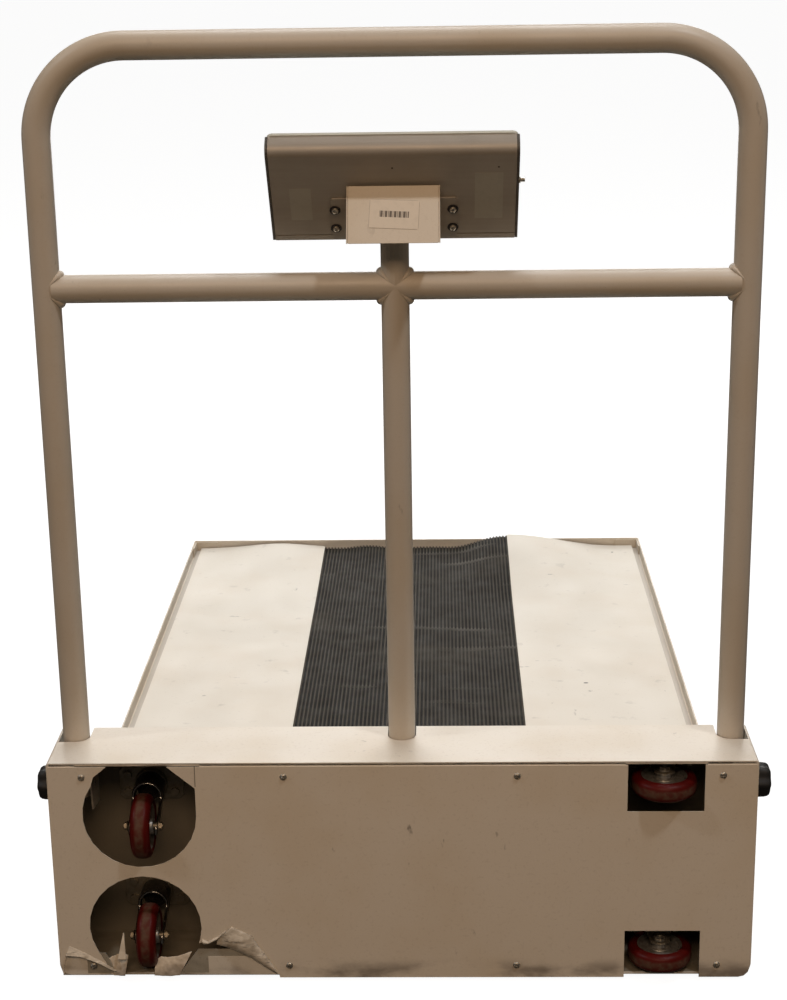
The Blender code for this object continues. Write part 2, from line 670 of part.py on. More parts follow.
def display_head(fold_axis):
    """Everything that tilts, under an empty on the tilt bolt."""
    axis = empty("tilt_axis", (0.0, depth(RAIL_DEPTH), TILT_AXIS_Z), parent=fold_axis)
    face = empty("display_face", (0.0, depth(FACE_DEPTH), FACE_Z), (TILT, 0.0, 0.0), axis)
    hang(tilt_box(), axis)
    hang(tilt_bolt(), axis)
    display_shell(face)
    display_front(face)
    data_socket(face)
    bracket_plate(face)


# Platform

def platform_tray():
    """Shallow tray with an upstanding rim, and a skirt on three sides."""
    half = PLATFORM_W / 2.0
    start, end = depth(PLATFORM_START), depth(PLATFORM_END)
    tray = block("platform_tray", (-half, start, SKIRT_BOTTOM), (half, end, PLATFORM_TOP), CREAM)
    inner, far, underside = half - DECK_SHEET, end - DECK_SHEET, DECK_TOP - DECK_SHEET
    cut(tray, block("tray_pocket", (-inner, start + DECK_SHEET, DECK_TOP), (inner, far, 0.2)))
    return cut(tray, block("tray_under", (-inner, start - 0.02, -0.02), (inner, far, underside)))


def ribbed_mat():
    """Rubber mat with ribs running from front to back."""
    half = MAT_W / 2.0
    base = DECK_TOP + GAP
    pitch = 0.0126
    outline = [(-half, base), (half, base)]
    for i in range(int(MAT_W / pitch)):
        right = half - i * pitch
        outline += [(right, base + 0.0018), (right - 0.0005, base + RIB_H)]
        outline += [(right - 0.0070, base + RIB_H), (right - 0.0075, base + 0.0018)]
    outline.append((-half, base + 0.0018))
    return extrusion("ribbed_mat", outline, "Y", depth(0.112), depth(1.2825), RUBBER)


def side_panel(name, side):
    """Thin smooth panel lying over one side of the mat."""
    low, high = sorted((side * 0.163, side * 0.386))
    base = DECK_TOP + RIB_H + 2 * GAP
    return block(name, (low, depth(0.114), base), (high, depth(1.2810), base + 0.0018), PANEL)


def corner_bracket(name, side):
    """Drilled angle in a far corner of the tray."""
    x = side * (PLATFORM_W / 2.0 - DECK_SHEET - GAP)
    y = depth(PLATFORM_END) - DECK_SHEET - GAP
    inward = -side
    leg, thick = 0.040, 0.002
    outline = [(x, y), (x + inward * leg, y), (x + inward * leg, y - thick)]
    outline += [(x + inward * thick, y - thick), (x + inward * thick, y - leg), (x, y - leg)]
    angle = extrusion(name, outline, "Z", DECK_TOP + GAP, PLATFORM_TOP - 0.002, PANEL)
    middle = (DECK_TOP + PLATFORM_TOP) / 2.0 + 0.002
    return cut(angle, rod(f"{name}_hole", "X", (y - 0.026, middle), 0.0034, x - 0.01, x + 0.01, 12))


def frame_rail(name, side):
    """Square tube running from the housing under one side of the platform."""
    x = side * RAIL_X
    start = depth(HOUSING_D + GAP)
    rail = block(name, (x - 0.020, start, 0.030), (x + 0.020, depth(1.250), 0.070), CREAM)
    bore = (x - 0.0175, start - 0.01, 0.0325), (x + 0.0175, depth(1.27), 0.0675)
    return cut(rail, block(f"{name}_bore", *bore))


def frame_crossbar():
    """Square tube between the rails at the far end."""
    beam = block("frame_crossbar", (-0.2797, depth(1.180), 0.030), (0.2797, depth(1.220), 0.070), CREAM)
    return cut(beam, block("crossbar_bore", (-0.30, depth(1.1825), 0.0325), (0.30, depth(1.2175), 0.0675)))


def load_cell(name, side, start):
    """Bending-beam cell on a rail, carrying the deck on its free end."""
    y = depth(start)
    top = DECK_TOP - DECK_SHEET - GAP
    outline = [(y, 0.0703), (y + 0.040, 0.0703), (y + 0.040, 0.0735), (y + 0.130, 0.0735), (y + 0.130, top)]
    outline += [(y + 0.100, top), (y + 0.100, 0.0955), (y, 0.0955)]
    middle = side * RAIL_X
    return extrusion(name, outline, "X", middle - 0.015, middle + 0.015, ALUMINIUM)


def foot(name, side, place):
    """Rubber foot with its stem up in the rail."""
    profile = [(0.0, 0.0297), (0.0060, 0.0297), (0.0060, 0.0150), (0.0225, 0.0150), (0.0250, 0.0125)]
    profile += [(0.0250, 0.0015), (0.0235, 0.0), (0.0, 0.0)]
    return turned(name, profile, "Z", (side * RAIL_X, depth(place), 0.0), 20, RUBBER)


def platform():
    """The weighing platform with its frame, load cells and feet."""
    platform_tray()
    ribbed_mat()
    frame_crossbar()
    for hand, side in (("left", -1), ("right", 1)):
        side_panel(f"side_panel_{hand}", side)
        corner_bracket(f"corner_bracket_{hand}", side)
        frame_rail(f"frame_rail_{hand}", side)
        load_cell(f"load_cell_near_{hand}", side, 0.130)
        load_cell(f"load_cell_far_{hand}", side, 1.105)
        foot(f"foot_near_{hand}", side, 0.135)
        foot(f"foot_far_{hand}", side, 1.215)


base_housing()
rear_cover()
cover_screws()
casters()
display_head(handrail())
platform()
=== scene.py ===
"""Animal weighing scale: materials, finer pieces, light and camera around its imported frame."""
import json
from math import cos, exp, pi, radians, sin, sqrt, tau

import bmesh
import bpy
from mathutils import Matrix, Vector, noise


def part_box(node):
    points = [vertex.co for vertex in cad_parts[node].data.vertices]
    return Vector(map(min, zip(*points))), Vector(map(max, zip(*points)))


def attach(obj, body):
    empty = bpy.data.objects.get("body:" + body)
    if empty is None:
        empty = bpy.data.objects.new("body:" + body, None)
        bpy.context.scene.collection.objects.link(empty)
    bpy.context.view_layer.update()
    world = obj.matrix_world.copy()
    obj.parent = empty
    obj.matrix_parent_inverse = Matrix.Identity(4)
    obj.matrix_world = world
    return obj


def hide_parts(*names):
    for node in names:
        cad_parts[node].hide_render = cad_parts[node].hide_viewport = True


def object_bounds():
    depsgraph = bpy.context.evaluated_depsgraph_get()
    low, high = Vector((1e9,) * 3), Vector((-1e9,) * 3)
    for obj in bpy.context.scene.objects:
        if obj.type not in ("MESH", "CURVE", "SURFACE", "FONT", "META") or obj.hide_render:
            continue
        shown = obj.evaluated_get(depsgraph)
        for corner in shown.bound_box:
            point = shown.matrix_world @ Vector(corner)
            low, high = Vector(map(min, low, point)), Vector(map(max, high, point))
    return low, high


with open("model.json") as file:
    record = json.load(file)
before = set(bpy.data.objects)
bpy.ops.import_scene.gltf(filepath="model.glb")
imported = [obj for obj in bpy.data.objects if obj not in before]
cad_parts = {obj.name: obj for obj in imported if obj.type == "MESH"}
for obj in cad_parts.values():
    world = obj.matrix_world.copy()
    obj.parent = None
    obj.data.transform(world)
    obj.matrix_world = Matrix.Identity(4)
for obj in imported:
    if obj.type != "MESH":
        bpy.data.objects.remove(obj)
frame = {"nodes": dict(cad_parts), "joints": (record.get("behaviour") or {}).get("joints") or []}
CAD_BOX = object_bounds()
NODES = frame["nodes"]
PIVOTS = {joint["name"]: joint["pos_m"] for joint in frame["joints"]}
AXES = {joint["name"]: joint["axis"] for joint in frame["joints"]}
SIDES = ((-1, "left"), (1, "right"))
UPRIGHT = (pi / 2, 0, 0)
CORNERS = [f"{end}_{hand}" for end in ("near", "far") for _, hand in SIDES]

HOUSING_LOW, HOUSING_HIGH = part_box("base_housing")
COVER_LOW, COVER_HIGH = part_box("rear_cover")
POST_LOW, POST_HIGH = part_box("centre_post")
HOOP_LOW, HOOP_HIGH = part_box("handrail_hoop")
RAIL_LOW, RAIL_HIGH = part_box("mid_rail")
MAT_LOW, MAT_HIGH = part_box("ribbed_mat")

TUBE_R = (POST_HIGH.x - POST_LOW.x) / 2
RAIL_Y = (POST_HIGH.y + POST_LOW.y) / 2
MID_RAIL_Z = (RAIL_LOW.z + RAIL_HIGH.z) / 2
SIDE_X = HOOP_HIGH.x - TUBE_R
BEND_R = 0.098
WELD_R = 0.0052
DISPLAY_TILT = radians(36)
DISPLAY_RISE = 0.134
LABEL_HALF = (0.0265, 0.0165)
FORK_HALF = 0.0162
FORK_SHEET = 0.0018
HUB_R = 0.0265
STUD_R = 0.0048
SCREW_DOME = 0.62
PANEL_EDGE = 0.163
CAMERA_TURNS = (-1.58, 16.83, 0.91)
CAMERA_PLACE = (0.0517, HOUSING_LOW.y - 1.9994, 1.1958)
LENS_MM = 69.2
MAT_RIBS = round((MAT_HIGH.x - MAT_LOW.x) / 0.0057)
MAT_PITCH = (MAT_HIGH.x - MAT_LOW.x) / MAT_RIBS


# Building pieces

def place_piece(made, look, body, stands_for=()):
    """Paint a piece, ride it on its body and hide the CAD nodes it stands for."""
    made.data.materials.clear()
    made.data.materials.append(look.material)
    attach(made, body)
    if stands_for:
        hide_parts(*stands_for)


def new_object(name, data):
    """Link a mesh or curve to the scene."""
    made = bpy.data.objects.new(name, data)
    bpy.context.scene.collection.objects.link(made)
    return made


def from_bmesh(name, shape, smooth=35):
    """An object from a bmesh, smooth up to an angle in degrees."""
    mesh = bpy.data.meshes.new(name)
    bmesh.ops.recalc_face_normals(shape, faces=shape.faces)
    shape.to_mesh(mesh)
    shape.free()
    mesh.shade_smooth()
    mesh.set_sharp_from_angle(angle=radians(smooth))
    return new_object(name, mesh)


def arc(centre, radius, first, last, steps):
    """Points along an arc, angles in degrees."""
    angles = [radians(first + (last - first) * i / steps) for i in range(steps + 1)]
    return [(centre[0] + radius * cos(a), centre[1] + radius * sin(a)) for a in angles]


def tube(name, path, radius, smooth_sides=14, closed=False, swell=None):
    """A round tube along a path; swell gives the radius factor of a point by its index."""
    curve = bpy.data.curves.new(name, "CURVE")
    curve.dimensions = "3D"
    curve.bevel_depth = radius
    curve.bevel_resolution = smooth_sides
    curve.use_fill_caps = True
    line = curve.splines.new("POLY")
    line.points.add(len(path) - 1)
    for i, (knot, point) in enumerate(zip(line.points, path)):
        knot.co = (*point, 1)
        knot.radius = swell(i) if swell else 1
    line.use_cyclic_u = closed
    line.use_smooth = True
    return new_object(name, curve)


def lathe(name, profile, location, axis, steps=64):
    """Spin a closed (radius, along) profile about an axis through a point."""
    shape = bmesh.new()
    knots = [shape.verts.new((radius, 0, along)) for radius, along in profile]
    edges = [shape.edges.new(pair) for pair in zip(knots, knots[1:] + knots[:1])]
    spin = {"cent": (0, 0, 0), "axis": (0, 0, 1), "angle": tau, "steps": steps, "use_merge": True}
    bmesh.ops.spin(shape, geom=knots + edges, **spin)
    bmesh.ops.remove_doubles(shape, verts=shape.verts, dist=1e-6)
    made = from_bmesh(name, shape)
    made.location = location
    made.rotation_euler = Vector((0, 0, 1)).rotation_difference(Vector(axis)).to_euler()
    return made


def prism(corners, path):
    """A flat face of corner points drawn out along a path."""
    shape = bmesh.new()
    face = shape.faces.new([shape.verts.new(corner) for corner in corners])
    top = bmesh.ops.extrude_face_region(shape, geom=[face])["geom"]
    moved = [item for item in top if isinstance(item, bmesh.types.BMVert)]
    bmesh.ops.translate(shape, verts=moved, vec=path)
    return shape


def extruded(name, outline, thickness, location=(0, 0, 0), turn=(0, 0, 0)):
    """A flat outline with a thickness, centred on its own plane."""
    made = from_bmesh(name, prism([(x, y, -thickness / 2) for x, y in outline], (0, 0, thickness)))
    made.location = location
    made.rotation_euler = turn
    return made


def upright_plate(name, outline, x, thickness):
    """A plate square to X whose outline is (y, z) points."""
    made = extruded(name, outline, thickness)
    made.matrix_world = Matrix(((0, 0, 1, x), (1, 0, 0, 0), (0, 1, 0, 0), (0, 0, 0, 1)))
    return made


def cut_away(made, cutter):
    """Take a hidden cutter out of a piece."""
    cutter.hide_render = True
    cutter.display_type = "WIRE"
    step = made.modifiers.new(cutter.name, "BOOLEAN")
    step.solver = "EXACT"
    step.object = cutter


def strip(shape, first, second):
    """Quads between two open rows of vertices."""
    for k in range(len(first) - 1):
        shape.faces.new((first[k], second[k], second[k + 1], first[k + 1]))


def band(shape, first, second):
    """Quads between two closed loops of vertices."""
    for i in range(len(first)):
        k = (i + 1) % len(first)
        shape.faces.new((first[i], first[k], second[k], second[i]))


def grid(name, across, along, place):
    """A sheet of across × along quads whose points place(u, v) gives."""
    shape = bmesh.new()
    rows = [[shape.verts.new(place(i / across, j / along)) for j in range(along + 1)]
            for i in range(across + 1)]
    for row, following in zip(rows, rows[1:]):
        strip(shape, row, following)
    return from_bmesh(name, shape, 50)


def thicken(made, thickness, offset=0):
    """Give a sheet its thickness; offset -1 puts it all below, 1 all above."""
    solid = made.modifiers.new("thickness", "SOLIDIFY")
    solid.thickness = thickness
    solid.offset = offset
    return made


def soften(made, width, segments=3, angle=30):
    """Round a piece's edges after welding its split corners."""
    joined = made.modifiers.new("joined", "WELD")
    joined.merge_threshold = 0.00002
    edge = made.modifiers.new("soft_edges", "BEVEL")
    edge.width = width
    edge.segments = segments
    edge.angle_limit = radians(angle)
    edge.use_clamp_overlap = True
    edge.harden_normals = True
    return made


def along_line(points, t):
    """The point at a fraction of a polyline's legs."""
    place = min(max(t, 0), 1) * (len(points) - 1)
    leg = min(int(place), len(points) - 2)
    return Vector(points[leg]).lerp(Vector(points[leg + 1]), place - leg)


def smoothstep(value):
    """Ease from 0 to 1."""
    t = min(max(value, 0), 1)
    return t * t * (3 - 2 * t)


# Materials

class Look:
    """A Principled material whose textures are in metres of the piece's own space."""

    def __init__(self, name, colour, roughness, metallic=0):
        self.material = bpy.data.materials.new(name)
        self.material.use_nodes = True
        self.tree = self.material.node_tree
        self.shader = self.tree.nodes["Principled BSDF"]
        self.colour = (*colour, 1)
        for key, value in (("Base Color", self.colour), ("Roughness", roughness), ("Metallic", metallic)):
            self.shader.inputs[key].default_value = value
        self.space = self.tree.nodes.new("ShaderNodeTexCoord").outputs["Object"]
        self.relief = None

    def node(self, kind, inputs, **settings):
        """A shader node, its inputs linked or set by name or number."""
        made = self.tree.nodes.new(f"ShaderNode{kind}")
        for key, value in settings.items():
            setattr(made, key, value)
        for key, value in inputs.items():
            self.feed(made.inputs[key], value)
        return made

    def feed(self, socket, value):
        """Link a socket to another, or set its value."""
        if hasattr(value, "is_linked"):
            self.tree.links.new(value, socket)
        else:
            socket.default_value = value

    def mapped(self, stretch, shift):
        """The piece's own space, stretched and shifted."""
        inputs = {"Vector": self.space, "Scale": stretch, "Location": shift}
        return self.node("Mapping", inputs).outputs["Vector"]

    def noise(self, scale, detail, stretch=(1, 1, 1), shift=(0, 0, 0), rough=0.5):
        """Noise with about scale features to the metre."""
        space = self.mapped(stretch, shift)
        inputs = {"Vector": space, "Scale": scale, "Detail": detail, "Roughness": rough}
        return self.node("TexNoise", inputs).outputs["Fac"]

    def window(self, source, low, high, first=0, last=1):
        """Map a range of values onto another, clamped and eased."""
        inputs = {"Value": source, "From Min": low, "From Max": high, "To Min": first, "To Max": last}
        return self.node("MapRange", inputs, interpolation_type="SMOOTHSTEP").outputs["Result"]

    def maths(self, operation, first, second=0):
        """A sum of one or two values."""
        return self.node("Math", {0: first, 1: second}, operation=operation).outputs[0]

    def times(self, first, *others):
        """The product of factors."""
        for other in others:
            first = self.maths("MULTIPLY", first, other)
        return first

    def along(self, axis):
        """One coordinate of the piece's own space."""
        return self.node("SeparateXYZ", {0: self.space}).outputs[axis]

    def off_middle(self, axis):
        """How far a point lies from the middle plane along an axis."""
        return self.maths("ABSOLUTE", self.along(axis))

    def below(self, source, limit, blend):
        """One under a limit and nought past it, with a short blend before it."""
        return self.window(source, limit - blend, limit, 1, 0)

    def distance(self, point, stretch=(1, 1, 1)):
        """Distance in metres from a point, with each axis stretched."""
        space = self.mapped(stretch, [-p * s for p, s in zip(point, stretch)])
        return self.node("VectorMath", {0: space}, operation="LENGTH").outputs["Value"]

    def tint(self, factor, colour):
        """Lay a colour over what is there."""
        inputs = {0: factor, 6: self.colour, 7: (*colour, 1)}
        self.colour = self.node("Mix", inputs, data_type="RGBA").outputs[2]
        self.feed(self.shader.inputs["Base Color"], self.colour)

    def stain(self, colour, amount, low, high, *noise_settings):
        """Lay a colour where a noise rises from low to high."""
        self.tint(self.window(self.noise(*noise_settings), low, high, 0, amount), colour)

    def gloss(self, factor, low, high):
        """Roughness from low to high with a factor."""
        self.feed(self.shader.inputs["Roughness"], self.window(factor, 0, 1, low, high))

    def sheen(self, low, high, *noise_settings):
        """Roughness from low to high with a noise."""
        self.gloss(self.noise(*noise_settings), low, high)

    def bump(self, height, distance, strength=1):
        """Add relief; distance is its depth in metres."""
        inputs = {"Strength": strength, "Distance": distance, "Height": height}
        if self.relief:
            inputs["Normal"] = self.relief
        self.relief = self.node("Bump", inputs).outputs["Normal"]
        self.feed(self.shader.inputs["Normal"], self.relief)

    def grain(self, depth, *noise_settings):
        """Relief of a noise, its depth in metres."""
        self.bump(self.noise(*noise_settings), depth)


def scuffs(look, scale, stretch, shift, amount):
    """Short marks: the peaks of a stretched noise, broken up by a second one."""
    streak = look.window(look.noise(scale, 4, stretch, shift, 0.62), 0.66, 0.74)
    patch = look.window(look.noise(scale * 0.12, 1, (1, 1, 1), shift), 0.5, 0.62)
    return look.times(look.times(streak, patch), amount)


def inside_housing(look):
    """One on the housing's inner surfaces, where dust and painted shade go, and nought outside."""
    skin = 0.0006
    walls = look.below(look.off_middle("X"), HOUSING_HIGH.x - skin, skin)
    roof = look.below(look.along("Z"), HOUSING_HIGH.z - skin, skin)
    rear = look.window(look.along("Y"), HOUSING_LOW.y + 0.001, HOUSING_LOW.y + 0.004)
    front = look.below(look.along("Y"), HOUSING_HIGH.y - skin, skin)
    return look.times(look.times(walls, roof), look.times(rear, front))


def tray_floor(look):
    """One inside the tray's rim, below its top edge, and nought on the rim's own faces."""
    low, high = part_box("platform_tray")
    rim, blend = 0.0036, 0.0004
    floor = look.below(look.along("Z"), high.z - 0.004, 0.002)
    inside = look.below(look.off_middle("X"), high.x - rim, blend)
    inside = look.times(inside, look.below(look.along("Y"), high.y - rim, blend))
    inside = look.times(inside, look.window(look.along("Y"), low.y + rim, low.y + rim + blend))
    return look.times(floor, inside)


def enamel(name, colour, grime_top=None, scuff=0, shaded_crease=None, dusty_shaded_inside=False, shaded_grey_floor=False):
    """Baked enamel: orange peel, slow colour drift, pinholes and scuffs.

    grime_top is the height that floor grime reaches, and the last argument the place and foot of one
    crease, a pressed line painted dark as its shade.
    """
    look = Look(name, colour, 0.42)
    warm = (colour[0] * 0.9, colour[1] * 0.84, colour[2] * 0.74)
    look.stain(warm, 0.55, 0.38, 0.72, 7, 4)
    look.stain((0.3, 0.24, 0.18), 0.35, 0.7, 0.78, 620, 2)
    look.tint(scuffs(look, 55, (1, 1, 0.35), (3, 1, 2), scuff), (0.16, 0.13, 0.11))
    if grime_top:
        height = look.window(look.along("Z"), grime_top * 0.3, grime_top, 1, 0)
        dirt = look.times(height, look.window(look.noise(38, 5, (0.5, 1, 1)), 0.42, 0.7))
        look.tint(look.times(dirt, 0.75), (0.13, 0.1, 0.08))
    look.stain((0.5, 0.42, 0.33), 0.16, 0.56, 0.72, 240, 2)
    look.sheen(0.34, 0.52, 14, 4)
    look.grain(0.00009, 430, 2)
    look.bump(look.noise(9, 2), 0.0006, 0.6)
    # Inside the housing the enamel is darkened: dust, and painted shade in the cavity.
    if dusty_shaded_inside:
        look.tint(look.times(inside_housing(look), 0.88), (0.15, 0.125, 0.085))
    # The tray floor between the panels and the rim is painted grey: dirt, and painted shade from the rim.
    if shaded_grey_floor:
        look.tint(look.times(tray_floor(look), 0.85), (0.5, 0.46, 0.4))
    # A dark line along the crease: painted shade in its groove.
    if shaded_crease:
        x, low = shaded_crease
        aside = look.maths("ABSOLUTE", look.maths("SUBTRACT", look.along("X"), x))
        line = look.times(look.below(aside, 0.0007, 0.0004), look.window(look.along("Z"), low - 0.001, low))
        look.tint(look.times(line, 0.7), (0.1, 0.08, 0.06))
        look.bump(look.times(line, -1), 0.0004)
    return look


def zinc(name, colour=(0.52, 0.49, 0.43), roughness=0.38):
    """Zinc plate: cloudy, faintly yellow, with fine drawn lines."""
    look = Look(name, colour, roughness, 0.92)
    look.stain((0.36, 0.31, 0.22), 0.6, 0.4, 0.66, 160, 3)
    look.stain((0.16, 0.12, 0.08), 0.5, 0.62, 0.72, 700, 4)
    look.sheen(roughness - 0.08, roughness + 0.18, 220, 3)
    look.grain(0.00004, 900, 3, (0.2, 1, 1))
    return look


def chrome():
    """Nickel chrome with smears of dust."""
    look = Look("bright_chrome", (0.6, 0.59, 0.57), 0.16, 1)
    look.stain((0.24, 0.2, 0.16), 0.7, 0.52, 0.74, 120, 4)
    look.sheen(0.1, 0.34, 150, 4)
    look.grain(0.00003, 500, 2)
    return look


def bare_sheet():
    """Grey inner sheet under the torn cover, dull and dirty."""
    look = Look("bare_sheet", (0.44, 0.405, 0.335), 0.55, 0.15)
    look.stain((0.27, 0.245, 0.195), 0.6, 0.42, 0.7, 45, 5, (0.4, 1, 1.5))
    look.stain((0.12, 0.1, 0.08), 0.5, 0.6, 0.74, 400, 3)
    look.sheen(0.42, 0.66, 80, 3)
    look.grain(0.0001, 300, 3)
    return look


def torn_enamel():
    """Creased enamel on torn sheet, with dark streaks."""
    look = Look("torn_enamel", (0.76, 0.69, 0.58), 0.5)
    look.stain((0.4, 0.34, 0.26), 0.75, 0.44, 0.66, 60, 5, (1, 1, 2.2), (2, 0, 1))
    look.stain((0.13, 0.11, 0.09), 0.7, 0.56, 0.7, 150, 4, (0.5, 1, 2.6), (4, 0, 3))
    look.sheen(0.38, 0.6, 90, 3)
    look.grain(0.0008, 110, 4)
    look.grain(0.00015, 430, 3)
    return look


def greased_black():
    """Blackened steel with old grease and rubbed places."""
    look = Look("blackened_steel", (0.012, 0.01, 0.009), 0.3)
    look.stain((0.04, 0.033, 0.026), 0.6, 0.5, 0.72, 130, 4)
    look.stain((0.2, 0.18, 0.15), 0.7, 0.66, 0.76, 420, 4)
    look.sheen(0.18, 0.46, 90, 4)
    look.grain(0.00008, 380, 3)
    return look


def tread_red():
    """Red polyurethane, glossy at its shoulders and worn along the running band."""
    look = Look("red_tread", (0.085, 0.0045, 0.003), 0.5)
    axial = look.off_middle("Z")
    worn = look.window(axial, 0.0025, 0.0068, 1, 0)
    blotch = look.window(look.noise(130, 4), 0.35, 0.65, 0.35, 1)
    look.tint(look.times(look.times(worn, blotch), 0.8), (0.125, 0.078, 0.052))
    look.stain((0.035, 0.006, 0.005), 0.6, 0.5, 0.75, 60, 3)
    look.stain((0.2, 0.15, 0.11), 0.5, 0.68, 0.76, 480, 3)
    look.gloss(worn, 0.4, 0.7)
    look.grain(0.0001, 420, 3)
    look.shader.inputs["Specular IOR Level"].default_value = 0.15
    return look


def cast_hub():
    """Cast hub, turned in rings, with grease in the corners."""
    look = Look("cast_hub", (0.4, 0.39, 0.37), 0.42, 0.75)
    flat = look.node("VectorMath", {0: look.space, 1: (1, 1, 0)}, operation="MULTIPLY")
    radius = look.node("VectorMath", {0: flat.outputs[0]}, operation="LENGTH").outputs["Value"]
    rings = look.maths("SINE", look.times(radius, 9000))
    look.stain((0.17, 0.15, 0.13), 0.6, 0.42, 0.68, 140, 3)
    look.tint(look.window(rings, 0.2, 1, 0, 0.25), (0.6, 0.58, 0.54))
    look.sheen(0.32, 0.55, 200, 2)
    look.bump(rings, 0.00005, 0.7)
    return look


def black_moulding():
    """Spark-eroded black plastic with dust."""
    look = Look("black_moulding", (0.009, 0.0085, 0.0085), 0.55)
    look.stain((0.06, 0.052, 0.043), 0.2, 0.5, 0.75, 90, 4)
    look.sheen(0.48, 0.7, 60, 3)
    look.grain(0.00006, 1400, 2)
    return look


def rubber_mat():
    """Dark rubber with dusty bands; the grooves between ribs are painted darker than the rib tops, as
    painted shade.
    """
    look = Look("ribbed_rubber_dusty", (0.0075, 0.0066, 0.0052), 0.88)
    look.shader.inputs["Specular IOR Level"].default_value = 0.25
    # Rib tops lighter and grooves darker: painted shade in the grooves.
    across = look.maths("SUBTRACT", look.along("X"), MAT_LOW.x + MAT_PITCH / 4)
    rib_light_groove_shade = look.window(look.maths("SINE", look.times(across, tau / MAT_PITCH)), -0.2, 0.8)
    look.tint(look.times(rib_light_groove_shade, 0.7), (0.094, 0.08, 0.06))
    look.stain((0.098, 0.086, 0.067), 0.38, 0.52, 0.76, 5.5, 5, (1, 1.8, 1))
    look.stain((0.165, 0.15, 0.122), 0.5, 0.62, 0.76, 16, 4, (0.35, 2.2, 1), (5, 3, 0))
    look.sheen(0.62, 0.9, 40, 3)
    look.grain(0.00008, 1500, 2)
    return look


def panel_white(spot):
    """Off-white board: faint blotches, grey scuffs and one dark chip."""
    look = Look("panel_white", (0.755, 0.705, 0.615), 0.5)
    look.stain((0.7, 0.62, 0.51), 0.45, 0.42, 0.72, 10, 5)
    look.stain((0.42, 0.36, 0.29), 0.25, 0.66, 0.74, 300, 3)
    look.tint(scuffs(look, 26, (2.4, 0.8, 1), (1, 7, 2), 0.85), (0.3, 0.27, 0.23))
    look.stain((0.46, 0.42, 0.36), 0.4, 0.63, 0.74, 34, 4, (1, 1, 1), (6, 2, 0))
    look.tint(scuffs(look, 42, (0.7, 2, 1), (9, 2, 4), 0.8), (0.33, 0.3, 0.26))
    chip = look.distance(spot, (1, 1.6, 1))
    look.tint(look.window(chip, 0.0028, 0.004, 0.95, 0), (0.03, 0.025, 0.02))
    look.sheen(0.4, 0.62, 16, 4)
    look.grain(0.00006, 260, 3)
    return look


def bead_blasted():
    """Satin grey extrusion: fine grain, faint lines along it, and two small screw holes painted as dark
    discs of shade.
    """
    look = Look("satin_extrusion", (0.385, 0.343, 0.292), 0.5, 0.22)
    look.stain((0.46, 0.42, 0.365), 0.22, 0.38, 0.64, 240, 3, (0.04, 1, 1))
    look.stain((0.33, 0.3, 0.255), 0.45, 0.48, 0.74, 18, 4)
    look.stain((0.52, 0.48, 0.42), 0.3, 0.6, 0.74, 900, 2)
    # Two screw holes painted as dark discs: painted shade in the holes.
    for x in (-0.0005, 0.112):
        hole_shade = look.distance(tilted(x, 0, DISPLAY_RISE * 0.8))
        look.tint(look.window(hole_shade, 0.0009, 0.0013, 0.9, 0), (0.012, 0.01, 0.008))
    look.sheen(0.42, 0.56, 30, 4)
    look.grain(0.00005, 1500, 2)
    return look


def plain_plastic(name, colour, roughness=0.5):
    """Moulded plastic with a light texture."""
    look = Look(name, colour, roughness)
    darker = tuple(c * 0.78 for c in colour)
    look.stain(darker, 0.5, 0.45, 0.72, 25, 4)
    look.sheen(roughness - 0.08, roughness + 0.12, 50, 3)
    look.grain(0.00005, 900, 2)
    return look


def lens():
    """Dark clear window with greasy smears."""
    look = Look("lens_dark", (0.02, 0.03, 0.026), 0.1)
    look.stain((0.035, 0.05, 0.042), 0.5, 0.45, 0.7, 40, 3)
    look.gloss(look.window(look.noise(24, 5), 0.45, 0.75), 0.06, 0.3)
    look.grain(0.00003, 60, 2)
    return look


def board():
    """Circuit board: solder mask, tracks and pads."""
    look = Look("solder_mask", (0.012, 0.085, 0.035), 0.35)
    tracks = look.window(look.noise(260, 0, (1, 0.15, 1)), 0.5, 0.52, 0, 0.5)
    look.tint(tracks, (0.03, 0.16, 0.06))
    look.stain((0.6, 0.5, 0.28), 1, 0.68, 0.7, 520, 0)
    look.bump(tracks, 0.00004)
    return look


def paper(name, colour, size=None):
    """A blank label; given its half size, it has a dark edge and uneven bars that say nothing."""
    look = Look(name, colour, 0.55)
    look.stain(tuple(c * 0.86 for c in colour), 0.4, 0.45, 0.7, 120, 4)
    if size:
        across, up = (look.maths("ABSOLUTE", look.along(axis)) for axis in ("X", "Y"))
        border = look.maths("MAXIMUM", look.window(across, size[0] - 0.0006, size[0] - 0.0002),
                            look.window(up, size[1] - 0.0006, size[1] - 0.0002))
        look.tint(look.times(border, 0.6), tuple(c * 0.35 for c in colour))
        even = look.maths("SINE", look.times(look.along("X"), 3900))
        uneven = look.maths("SINE", look.times(look.along("X"), 1270))
        stripe = look.window(look.maths("ADD", even, look.times(uneven, 0.8)), -0.55, -0.35)
        within = look.window(across, 0.0155, 0.0158, 1, 0)
        height = look.window(up, 0.0034, 0.0037, 1, 0)
        shown = look.times(look.times(stripe, within), height)
        look.tint(look.times(shown, 0.9), (0.09, 0.07, 0.055))
    look.grain(0.00005, 700, 3)
    return look


# Handrail

